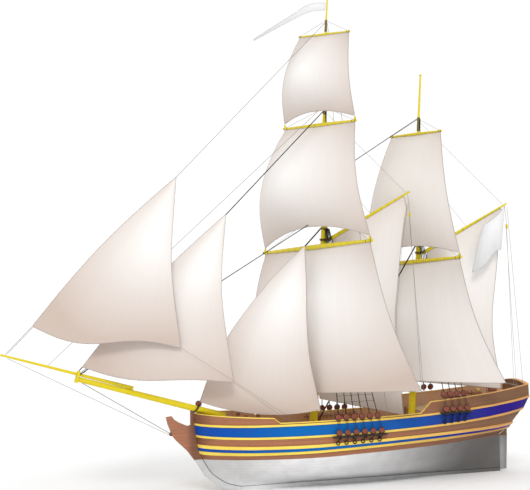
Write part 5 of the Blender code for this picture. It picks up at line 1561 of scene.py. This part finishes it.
def block_shape():
    """A wooden block with its sheave slot and strop."""
    shape = Mould()
    angles = [2 * pi * k / 10 for k in range(10)]
    shape.rings([[(cos(a) * 0.42 * w, sin(a) * 0.72 * w, h) for a in angles] for h, w in (
        (-1.0, 0.25), (-0.85, 0.62), (-0.4, 0.92), (0.0, 1.0), (0.4, 0.92), (0.85, 0.62), (1.0, 0.25))])
    shape.hoop((0, 0, 0), (1, 0, 0), 0.80, 0.12, 14, 5, 1.25)
    return shape


class SHIP_OT_running_rigging(bpy.types.Operator):
    """Reeve lifts, halyards, vangs and sheets"""

    bl_idname = "ship.running_rigging"
    bl_label = "Running rigging"

    def execute(self, context):
        lifts = (("main_topgallant_yard", "main_topgallant", 28.95), ("main_topsail_yard", "main_topmast", 23.1),
                 ("main_lower_yard", "main_lower", 16.3), ("mizzen_lower_yard", "mizzen_lower", 14.9),
                 ("mizzen_topsail_yard", "mizzen_topmast", 22.2))
        for yard, stick, z in lifts:
            for side, side_name in SIDES:
                arm = (YARDS[yard][3] if side > 0 else -YARDS[yard][2]) * 0.925
                start = stick_axis(stick, z) + Vector((0.02, side * (stick_radius(stick, z) + 0.012), 0.0))
                crossing(f"{yard}_lift_{side_name}", [start, yard_at(yard, arm, 0.005)], yard)
        for gaff, stick, head_z, falls in (
                ("main_gaff", "main_topmast", 22.7, ((-2.90, 3.10, 2.62), (-3.05, 3.10, 2.76))),
                ("mizzen_gaff", "mizzen_topmast", 22.0, ((-9.85, 2.36, 3.74), (-10.05, 2.33, 3.76)))):
            _, _, jaw, peak, radius = GAFFS[gaff]
            jaw, peak = Vector(jaw), Vector(peak)
            near = jaw.lerp(peak, 0.955) + UP * radius * 0.6
            top = stick_axis(stick, head_z) + Vector((-stick_radius(stick, head_z) - 0.01, 0.03, 0.0))
            crossing(gaff + "_peak_halyard", [top, near], gaff)
            mid = stick_axis(stick, head_z - 3.0) + Vector((-stick_radius(stick, head_z - 3.0) - 0.01, 0.05, 0.0))
            crossing(gaff + "_span", [mid, jaw.lerp(peak, 0.52) + UP * radius * 0.8], gaff)
            end = jaw.lerp(peak, 0.975) - UP * radius * 0.5
            hang = end + Vector((-0.05, 0.12, -1.25))
            thin_line(gaff + "_vang_pendant", [[end, hang]], gaff, 0.012, step=0.4)
            placed(gaff + "_vang_block", block_shape(), [(hang - UP * 0.16, None, 0.17)], spar_material(), gaff)
            for k, foot in enumerate(falls):
                crossing(f"{gaff}_vang_{k}", [foot, hang - UP * 0.30 + Vector((0.04 * k, 0, 0))], gaff)
        crossing("mizzen_gaff_far_vang", [(-10.60, 2.20, 3.84), (-9.80, 2.30, 16.05)], "mizzen_gaff")
        leech = [gaff_point("main_trysail", j / 14, 1.0) + Vector((-0.07, 0.05, 0.0)) for j in range(1, 15)]
        thin_line("trysail_leech_line", [leech], "main_gaff", 0.010)
        for sail, row in GAFF_SAILS.items():
            clew = Vector(row[1][-1])
            foot = (clew.x - 1.3, clew.y * 0.6, 1.75 if sail == "main_trysail" else 2.95)
            crossing(sail + "_sheet", [foot, clew], row[0], 0.013)
        rail = Vector((5.95, 3.20, 2.42))
        sheets = [[(13.18, 2.02, 7.51), (9.78, 2.62, 5.16), rail], [(9.80, 2.22, 5.12), rail + Vector((0.4, 0, 0))],
                  [(4.20, 2.97, 3.10), (2.85, 3.20, 2.42)]]
        thin_line("headsail_sheets", sheets, radius=0.012)
        laid("jib_tack_lashing", [[(18.93, 0.0, 6.52), (19.16, 0.06, 6.30), (19.52, 0.10, 6.02)],
                                  [(18.93, 0.0, 6.52), (19.10, -0.06, 6.16), (19.50, -0.10, 5.98)]],
             0.022, sides=6)
        tacks = [[(11.70, 0.02, 3.50), (11.78, 0.02, 3.30)], [(22.36, 0.0, 9.22), (24.1, 0.0, 7.55)]]
        thin_line("headsail_tacks", tacks, radius=0.014)
        for sail in ("main_topsail", "main_topgallant_sail", "mizzen_topsail"):
            yard, lower = SQUARE_SAILS[sail][:2]
            _, clews = square_corners(sail)
            lines = [[clew, yard_at(lower, arm * 0.985, 0.035)]
                     for clew, arm in zip(clews, (-YARDS[lower][2], YARDS[lower][3]))]
            thin_line(sail + "_sheets", lines, yard, 0.018)
        for course, ends in (("main_course", ((6.55, -3.22, 2.42), (-2.45, 3.20, 2.46))),
                             ("mizzen_course", ((-3.1, -3.14, 2.82), (-10.35, 2.26, 3.80)))):
            _, clews = square_corners(course)
            for (side, side_name), foot, clew in zip(reversed(SIDES), ends, clews):
                crossing(f"{course}_sheet_{side_name}", [foot, clew], SQUARE_SAILS[course][0], 0.014)
        return {"FINISHED"}


class SHIP_OT_seizings(bpy.types.Operator):
    """Wind the dark seizings, the gammoning, the parrels and the stays' collars"""

    bl_idname = "ship.seizings"
    bl_label = "Seizings"

    def execute(self, context):
        for stick, low, high, rope in (
                ("main_lower", 14.86, 15.02, 0.026), ("mizzen_lower", 13.50, 13.66, 0.026),
                ("main_topgallant", 28.20, 29.02, 0.010), ("mizzen_topmast", 21.42, 22.36, 0.011),
                ("main_topmast", 22.62, 23.22, 0.012)):
            pitch = 2.1 * rope
            path = spun(stick_axis(stick, low), stick_up(stick), stick_radius(stick, low) + rope,
                        (high - low) / pitch, pitch, 16)
            thin_line(stick + "_seizing", [path], radius=rope, material=served(), step=0.05, sides=5)
        for gaff, (stick, z, _, _, _) in GAFFS.items():
            reach = stick_radius(stick, z) + 0.045
            loops = [spun(stick_axis(stick, z + dz), stick_up(stick), reach, 1.0, 0.0, 24) for dz in (-0.03, 0.04)]
            thin_line(gaff + "_parrel", loops, gaff, 0.024, tarred(), 0.05)
            beads = [(stick_axis(stick, z + 0.10) + Vector((cos(a), sin(a), 0.0)) * (reach + 0.012), None, 0.034)
                     for a in [2 * pi * k / 14 for k in range(14)]]
            bead = Mould()
            bead.lathe((0, 0, 0), UP, [(-0.9, 0.45), (-0.5, 0.88), (0.0, 1.0), (0.5, 0.88), (0.9, 0.45)], 10)
            placed(gaff + "_parrel_beads", bead, beads, deadeye_wood(), gaff)
        start, end = Vector((9.90, 0.0, 2.76)), Vector((19.78, 0.0, 5.76))
        axis = (end - start).normalized()
        spot = start + axis * ((11.82 - start.x) / axis.x)
        slant = (axis + UP * 0.42).normalized()
        collar = spun(spot - axis * 0.05, slant, 0.305, 3.0, 0.040, 20)
        thin_line("bowsprit_gammoning", [collar], radius=0.018, material=tarred(), step=0.05)
        hearts = [((11.66, 0.0, 3.66), (-0.5, 0.0, 1.0), 0.19), ((3.52, 0.0, 1.98), (-0.54, 0.0, 0.84), 0.15),
                  ((13.58, 0.0, 1.78), (0.84, 0.0, 0.54), 0.11), ((3.42, 0.0, 2.18), (-0.54, 0.0, 0.84), 0.15)]
        places = []
        strops = []
        for centre, along, size in hearts:
            along = Vector(along).normalized()
            across = along.cross(PORT)
            places.append((centre, Matrix((across, along, PORT)).transposed(), size))
            strops.append(looped(Vector(centre), across, along, size * 1.04))
        placed("stay_hearts", deadeye_shape(), places, deadeye_wood())
        laid("stay_heart_strops", strops, 0.024, sides=6)
        foot = stick_axis("main_lower", 1.78)
        band = spun(foot, stick_up("main_lower"), stick_radius("main_lower", 1.78) + 0.03, 2.0, 0.06, 18)
        thin_line("mizzen_stay_collar", [band], radius=0.03, material=tarred(), step=0.08)
        return {"FINISHED"}


class SHIP_OT_spar_fittings(bpy.types.Operator):
    """Fit robands, hanks, mast hoops, yardarm cleats, bands and trucks"""

    bl_idname = "ship.spar_fittings"
    bl_label = "Spar fittings"

    def execute(self, context):
        tie = Mould()
        tie.hoop((0, 0, 0), UP, 1.0, 0.055, 14, 5)
        wood, iron = spar_material(), iron_material()
        for sail, row in SQUARE_SAILS.items():
            yard = row[0]
            _, along, starboard, port, radius, _ = YARDS[yard]
            heads, _ = square_corners(sail)
            places = []
            count = int((heads[1] - heads[0]) / 0.75)
            for k in range(count + 1):
                s = heads[0] + (heads[1] - heads[0]) * k / count
                if abs(s) < 0.25:
                    continue
                places.append((yard_middle(yard, s) - UP * 0.012, turned_to(along), yard_radius(yard, s) + 0.012))
            placed(sail + "_robands", tie, places, hemp(), yard)
            cleats = Mould()
            bands = Mould()
            for arm in (-starboard, port):
                base = yard_at(yard, arm * 0.955, -0.02)
                run = Vector(along) * (1 if arm > 0 else -1)
                side = run.cross(UP).normalized()
                tall = 0.04 if yard in {"main_topgallant_yard", "mizzen_topsail_yard"} else 0.17 + radius * 0.35
                cleats.rings([[base + side * w + run * dx + UP * dz for dx, dz in
                               ((-0.17, 0.0), (0.11, 0.0), (0.10, tall), (0.02, tall + 0.015), (-0.05, 0.07))]
                              for w in (-0.045, 0.045)])
                thin = radius * ARM_SHARE * 0.9
                for share in (0.90, 0.985):
                    wide = yard_radius(yard, arm * share) + 0.008
                    bands.lathe(yard_middle(yard, arm * share) - Vector(along) * 0.025, along,
                                [(0.0, thin), (0.001, wide), (0.049, wide), (0.05, thin)], 18)
            piece(yard + "_cleats", cleats, wood, yard, bevel=0.006)
            piece(yard + "_bands", bands, iron, yard)
        for sail, (stay, (high, low), _, _, _, _) in HEADSAILS.items():
            count = int((high - low) / 0.62)
            run = (on_stay(stay, low + 0.3) - on_stay(stay, low)).normalized()
            places = [(on_stay(stay, low + (high - low) * k / count) + PORT * 0.02, turned_to(run),
                       STAYS[stay][0] + 0.036) for k in range(1, count)]
            placed(sail + "_hanks", tie, places, hemp())
        for sail, (gaff, _, tack_z, _) in GAFF_SAILS.items():
            stick, jaw_z = GAFFS[gaff][:2]
            hoops = []
            z = jaw_z - 0.9
            while z > tack_z:
                hoops.append((stick_axis(stick, z), turned_to(stick_up(stick)), stick_radius(stick, z) + 0.045))
                z -= 0.85
            placed(sail + "_mast_hoops", tie, hoops, joinery_material(), gaff)
            jaw, peak = Vector(GAFFS[gaff][2]), Vector(GAFFS[gaff][3])
            run = (peak - jaw).normalized()
            laces = [(jaw.lerp(peak, share), turned_to(run), GAFFS[gaff][4] * (1 - 0.5 * share) + 0.02)
                     for share in [0.06 + 0.085 * k for k in range(1, 11)]]
            placed(sail + "_head_lacing", tie, laces, hemp(), gaff)
        trucks = Mould()
        for stick, z in (("main_topgallant", 30.735), ("mizzen_topmast", 25.285)):
            reach = stick_radius(stick, z) + 0.045
            trucks.lathe(stick_axis(stick, z - 0.085), UP, [(0.0, reach * 0.7), (0.02, reach), (0.055, reach),
                                                            (0.085, reach * 0.75)], 20)
        piece("mast_trucks", trucks, wood)
        bands = Mould()
        for stick, heights in (("main_lower", (2.6, 3.9, 5.2, 6.5, 7.8, 9.1, 10.4, 11.7, 12.6)),
                               ("mizzen_lower", (3.4, 4.6, 5.8, 7.0, 8.2, 9.4, 10.6, 11.5))):
            for z in heights:
                reach = stick_radius(stick, z) + 0.004
                bands.lathe(stick_axis(stick, z), stick_up(stick), [(0.0, reach - 0.02), (0.004, reach + 0.004),
                                                                    (0.076, reach + 0.004), (0.08, reach - 0.02)], 40)
        piece("mast_bands", bands, wood)
        return {"FINISHED"}


class SHIP_OT_rails(bpy.types.Operator):
    """Fit the yellow cap rails, the taffrail, the pin rails and the belaying pins"""

    bl_idname = "ship.rails"
    bl_label = "Rails"

    def execute(self, context):
        thick, lip = sizes().cap_rail, 0.035
        for side, side_name in SIDES:
            cap = Mould()
            cap.rings([section(x, 0.0, z + 0.001, side, ((outer + lip, 0.0), (outer + lip, thick),
                                                         (inner - lip, thick), (inner - lip, 0.0)))
                       for x, outer, z, inner in BULWARK_TOP])
            piece(f"cap_rail_{side_name}", cap, yellow_moulding(), bevel=0.012)
            pins, board = [], Mould()
            for low_x, high_x, z in ((-0.4, 3.5, 2.02), (-9.2, -6.6, 3.05)):
                board.rings([section(x, self.inner_edge(x), z, side,
                                     ((-0.004, 0.0), (-0.17, 0.0), (-0.17, 0.06), (-0.004, 0.06)))
                             for x in [low_x + (high_x - low_x) * k / 10 for k in range(11)]])
                x = low_x + 0.2
                while x < high_x - 0.1:
                    pins.append((Vector((x, side * (self.inner_edge(x) - 0.095), z + 0.03)), None, 0.19))
                    x += 0.29
            piece(f"pin_rail_{side_name}", board, joinery_material(), bevel=0.008)
            pin = Mould()
            pin.lathe((0, 0, 0), UP, [(-1.0, 0.05), (-0.95, 0.08), (0.05, 0.09), (0.15, 0.11), (0.35, 0.075),
                                      (0.7, 0.12), (0.92, 0.11), (1.0, 0.05)], 10)
            placed(f"belaying_pins_{side_name}", pin, pins, deadeye_wood())
        rail = Mould()
        rings = []
        low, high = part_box("transom")
        middle = (low[0] + high[0]) / 2
        for k in range(17):
            y = -1.93 + 3.86 * k / 16
            top, _ = meet("transom", (self.transom_crown(y, middle), y, 6.0), (0, 0, -1))
            rings.append([top + Vector((dx, 0, dz)) for dx, dz in ((-0.16, 0.001), (0.16, 0.001), (0.16, thick),
                                                                   (-0.16, thick))])
        rail.rings(rings)
        piece("taffrail", rail, yellow_moulding(), bevel=0.012)
        return {"FINISHED"}

    def inner_edge(self, x):
        """Inner Y of the bulwark's top at an X."""
        for a, b in zip(BULWARK_TOP, BULWARK_TOP[1:]):
            if a[0] <= x <= b[0]:
                return a[3] + (b[3] - a[3]) * (x - a[0]) / (b[0] - a[0])
        raise RuntimeError("the pin rail runs past the bulwark")

    def transom_crown(self, y, middle):
        """X of the transom's highest line at a Y."""
        best = (-1e9, middle)
        for k in range(9):
            x = middle - 0.22 + 0.055 * k
            try:
                top, _ = meet("transom", (x, y, 6.0), (0, 0, -1))
            except RuntimeError:
                continue
            if top.z > best[0] + 1e-4:
                best = (top.z, x)
        return best[1]


class SHIP_OT_stern(bpy.types.Operator):
    """Fit the stern windows with their frames, and the rudder's irons"""

    bl_idname = "ship.stern"
    bl_label = "Stern"

    def execute(self, context):
        frames, panes = Mould(), Mould()
        for y in (-1.14, -0.38, 0.38, 1.14):
            centre, facing = meet("sheer_band", (-15.0, y, 2.635), (1, 0, 0))
            rise = facing.cross(PORT).normalized()
            rise = rise if rise.z > 0 else -rise

            def bar(ca, cb, wide, proud, mould):
                a, b = [centre + PORT * across + rise * up for across, up in (ca, cb)]
                run = (b - a).normalized()
                flat = run.cross(facing).normalized() * wide
                mould.rings([[p - flat, p + flat, p + flat + facing * proud, p - flat + facing * proud]
                             for p in (a, b)])

            w, h = 0.29, 0.215
            tall = h + 0.035
            for ca, cb in (((-w, -tall), (-w, tall)), ((w, -tall), (w, tall)),
                           ((-w, -h), (w, -h)), ((-w, h), (w, h))):
                bar(ca, cb, 0.035, 0.05, frames)
            for ca, cb in (((-0.1, -h), (-0.1, h)), ((0.1, -h), (0.1, h)), ((-w, 0), (w, 0))):
                bar(ca, cb, 0.012, 0.035, frames)
            bar((0, -h), (0, h), w, 0.015, panes)
        piece("stern_window_frames", frames, yellow_moulding(), bevel=0.006)
        piece("stern_window_panes", panes, glass_material())
        on_post, on_rudder = Mould(), Mould()
        for z in (-1.55, -0.85, -0.15):
            for side, _ in SIDES:
                for name, mould, spots in (("hull_bottom", on_post, (-9.58, -9.40, -9.20)),
                                           ("rudder", on_rudder, (-9.74, -9.86, -9.98))):
                    feet = [beside(name, x, side, z) for x in spots]
                    mould.rings([[p + Vector((0, side * dy, dz)) for dy, dz in (
                        (0.001, -0.04), (0.016, -0.04), (0.016, 0.04), (0.001, 0.04))] for p in feet if p])
        paint = bottom_material("iron_under_paint")
        piece("sternpost_irons", on_post, paint)
        piece("rudder_irons", on_rudder, paint, "rudder")
        return {"FINISHED"}


class SHIP_OT_deck_gear(bpy.types.Operator):
    """Fit the gratings, the companion's doors, the wheel, the binnacle, the bell and the windlass"""

    bl_idname = "ship.deck_gear"
    bl_label = "Deck gear"

    def execute(self, context):
        wood, brass = joinery_material(), brass_material()
        low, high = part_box("main_hatch")
        top = high[2]
        run, wide = high[0] - low[0], high[1] - low[1]
        slat = Mould()
        slat.box((-0.5, -0.5, 0.0), (0.5, 0.5, 1.0))
        battens = [((low[0] + 0.12 + (run - 0.24) * k / 12, 0.0, top + 0.001), None, (0.07, wide - 0.10, 0.045))
                   for k in range(13)]
        ledges = [(((low[0] + high[0]) / 2, low[1] + 0.10 + (wide - 0.20) * k / 9, top + 0.0465), None,
                   (run - 0.14, 0.07, 0.018)) for k in range(10)]
        placed("hatch_battens", slat, battens, wood)
        placed("hatch_ledges", slat, ledges, wood)
        low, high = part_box("companion")
        doors = Mould()
        roof = high[2]
        doors.box((low[0] - 0.05, low[1] - 0.05, roof + 0.001), (high[0] + 0.06, high[1] + 0.05, roof + 0.045))
        doors.box((high[0] - 0.55, -0.34, roof + 0.046), (high[0] + 0.02, 0.34, roof + 0.085))
        for side, _ in SIDES:
            doors.box((high[0] + 0.001, side * 0.25 - 0.22, low[2] + 0.05),
                      (high[0] + 0.03, side * 0.25 + 0.22, roof - 0.05))
            for k in range(5):
                z = low[2] + 0.14 + 0.09 * k
                doors.box((high[0] + 0.031, side * 0.25 - 0.16, z), (high[0] + 0.045, side * 0.25 + 0.16, z + 0.05))
        piece("companion_doors", doors, wood, bevel=0.006)
        knobs = Mould()
        for side, _ in SIDES:
            knobs.lathe((high[0] + 0.031, side * 0.06, (low[2] + roof) / 2), (1, 0, 0),
                        [(0.0, 0.012), (0.02, 0.010), (0.03, 0.022), (0.045, 0.018)], 12)
        piece("companion_knobs", knobs, brass)
        self.wheel(wood, brass)
        self.windlass(wood)
        bell = Mould()
        at = Vector((7.62, 0.0, 3.02))
        bell.lathe(at, UP, [(-0.16, 0.125), (-0.15, 0.12), (-0.08, 0.085), (0.02, 0.07), (0.07, 0.03)], 20)
        piece("bell", bell, brass)
        frame_posts = Mould()
        for side, _ in SIDES:
            frame_posts.box((7.56, side * 0.24 - 0.045, 2.155), (7.68, side * 0.24 + 0.045, 3.14))
        frame_posts.box((7.54, -0.34, 3.13), (7.70, 0.34, 3.20))
        frame_posts.bar((7.62, 0.0, 3.13), (7.62, 0.0, 3.05), 0.014)
        piece("bell_frame", frame_posts, wood, bevel=0.006)
        return {"FINISHED"}

    def wheel(self, wood, brass):
        """Steering wheel on two posts, with the binnacle before it."""
        centre = Vector((-9.05, 0.0, 3.45))
        turned = Mould()
        turned.hoop(centre, (1, 0, 0), 0.46, 0.032, 32, 8)
        turned.hoop(centre, (1, 0, 0), 0.16, 0.028, 20, 8)
        for k in range(8):
            angle = 2 * pi * (k + 0.5) / 8
            out = Vector((0.0, cos(angle), sin(angle)))
            turned.lathe(centre, out, [(0.05, 0.016), (0.25, 0.026), (0.44, 0.016), (0.52, 0.018), (0.60, 0.027),
                                       (0.66, 0.018)], 10)
        turned.lathe(centre - FORE * 0.42, FORE, [(0.0, 0.12), (0.04, 0.15), (0.26, 0.15), (0.30, 0.06),
                                                  (0.46, 0.07), (0.50, 0.03)], 20)
        piece("steering_wheel", turned, wood)
        posts = Mould()
        for dx in (-0.48, -0.10):
            posts.box((centre.x + dx - 0.06, -0.10, 2.72), (centre.x + dx + 0.06, 0.10, 3.52))
        posts.box((-8.42, -0.22, 2.66), (-8.02, 0.22, 3.34))
        piece("wheel_posts", posts, wood, bevel=0.012)
        hood = Mould()
        hood.lathe((-8.22, 0.0, 3.341), UP, [(0.0, 0.15), (0.10, 0.15), (0.20, 0.10), (0.25, 0.03)], 20)
        piece("binnacle_hood", hood, brass)

    def windlass(self, wood):
        """Windlass barrel between its bitts on the forecastle."""
        barrel = Mould()
        at = Vector((8.75, 0.0, 2.50))
        for side, _ in SIDES:
            barrel.lathe(at + PORT * side * 0.02, PORT * side, [(0.0, 0.10), (0.02, 0.15), (0.42, 0.13), (0.80, 0.16),
                                                                (0.86, 0.16), (0.88, 0.10)], 8)
        piece("windlass_barrel", barrel, wood, bevel=0.008)
        cheeks = Mould()
        for side, _ in SIDES:
            cheeks.box((8.62, side * 0.96 - 0.06, 2.17), (8.88, side * 0.96 + 0.06, 2.84))
        piece("windlass_bitts", cheeks, wood, bevel=0.012)


# The stage. Lights: name, strength, spread in degrees, turn in degrees
FLOOR_REACH = 3000.0
SKY_STRENGTH, SKY_SEEN_MORE = 0.78, 0.25
LIGHTS = (("key", 0.86, 16.0, (52, 0, 163)), ("fill", 0.25, 60.0, (60, 0, -120)), ("top", 0.50, 100.0, (0, 0, 0)))
CAMERA_YAW, CAMERA_ROLL = 16.0, 1.9
CAMERA_AIM = (6.75, 0.0, 13.97)
SENSOR, FOCAL_SHARE = 36.0, 1680 / 530


class SHIP_OT_stage(bpy.types.Operator):
    """Lay the floor and set the lights and the camera"""

    bl_idname = "ship.stage"
    bl_label = "Stage"

    def execute(self, context):
        scene = context.scene
        scene.view_settings.view_transform = "Standard"
        floor_z = CAD_BOX[0][2]
        mesh = bpy.data.meshes.new("floor")
        corners = ((-1, -1), (1, -1), (1, 1), (-1, 1))
        mesh.from_pydata([(x * FLOOR_REACH, y * FLOOR_REACH, floor_z) for x, y in corners], [], [(0, 1, 2, 3)])

        def build(tree):
            clouds = noise(object_place(tree), 0.2)
            base = mix(clouds, (0.90, 0.90, 0.90), (0.92, 0.92, 0.92))
            return base, ramp(clouds, 0.0, 1.0, 0.85, 0.95), clouds

        floor = link("floor", mesh, finish_material("pale_floor", build, 0.0, 0.001, 0.0))
        world = bpy.data.worlds.new("studio")
        world.use_nodes = True
        sky = world.node_tree.nodes["Background"]
        sky.inputs[0].default_value = (1.0, 1.0, 1.0, 1.0)
        seen = put(world.node_tree, "ShaderNodeLightPath").outputs["Is Camera Ray"]
        strength = math_node("MULTIPLY_ADD", seen, SKY_SEEN_MORE, SKY_STRENGTH)
        world.node_tree.links.new(strength, sky.inputs[1])
        scene.world = world
        for name, energy, angle, turn in LIGHTS:
            lamp = bpy.data.lights.new(name, "SUN")
            lamp.energy = energy
            lamp.angle = radians(angle)
            link(name, lamp).rotation_euler = [radians(a) for a in turn]
        yaw, roll = radians(CAMERA_YAW), radians(CAMERA_ROLL)
        ahead = Vector((-sin(yaw), -cos(yaw), 0.0))
        level = Vector((-cos(yaw), sin(yaw), 0.0))
        right = level * cos(roll) - UP * sin(roll)
        above = UP * cos(roll) + level * sin(roll)
        lens = bpy.data.cameras.new("camera")
        lens.sensor_fit = "HORIZONTAL"
        lens.sensor_width = SENSOR
        lens.lens = SENSOR * FOCAL_SHARE
        lens.clip_end = 3 * FLOOR_REACH
        camera = link("camera", lens)
        spot = Vector(CAMERA_AIM) - ahead * sizes().camera_distance
        turn = Matrix((right, above, -ahead)).transposed().to_4x4()
        camera.matrix_world = Matrix.Translation(spot) @ turn
        scene.camera = camera
        return {"FINISHED"}


PIECE_OPERATORS = (
    SHIP_OT_paint,
    SHIP_OT_sails,
    SHIP_OT_flags,
    SHIP_OT_stays,
    SHIP_OT_shrouds,
    SHIP_OT_upper_shrouds,
    SHIP_OT_running_rigging,
    SHIP_OT_seizings,
    SHIP_OT_spar_fittings,
    SHIP_OT_rails,
    SHIP_OT_stern,
    SHIP_OT_deck_gear,
    SHIP_OT_stage,
)


class SHIP_PT_panel(bpy.types.Panel):
    """Lists the ship's pieces in the sidebar"""

    bl_idname = "SHIP_PT_panel"
    bl_label = "Sailing Ship"
    bl_space_type = "VIEW_3D"
    bl_region_type = "UI"
    bl_category = "Ship"

    def draw(self, context):
        layout = self.layout
        for settings in (context.scene.ship_sizes, context.scene.ship_colours):
            column = layout.column(align=True)
            for name in settings.bl_rna.properties.keys():
                if name not in {"rna_type", "name"}:
                    column.prop(settings, name)
        for operator in PIECE_OPERATORS:
            layout.operator(operator.bl_idname)


CLASSES = (ShipColours, ShipSizes, *PIECE_OPERATORS, SHIP_PT_panel)


def register():
    """Registers the classes and the settings."""
    for item in CLASSES:
        bpy.utils.register_class(item)
    bpy.types.Scene.ship_colours = PointerProperty(type=ShipColours)
    bpy.types.Scene.ship_sizes = PointerProperty(type=ShipSizes)


def unregister():
    """Removes the settings and the classes."""
    del bpy.types.Scene.ship_sizes
    del bpy.types.Scene.ship_colours
    for item in reversed(CLASSES):
        bpy.utils.unregister_class(item)


def main():
    """Builds every piece in order."""
    register()
    for operator in PIECE_OPERATORS:
        group_name, call = operator.bl_idname.split(".")
        getattr(getattr(bpy.ops, group_name), call)()


if __name__ == "__main__":
    main()
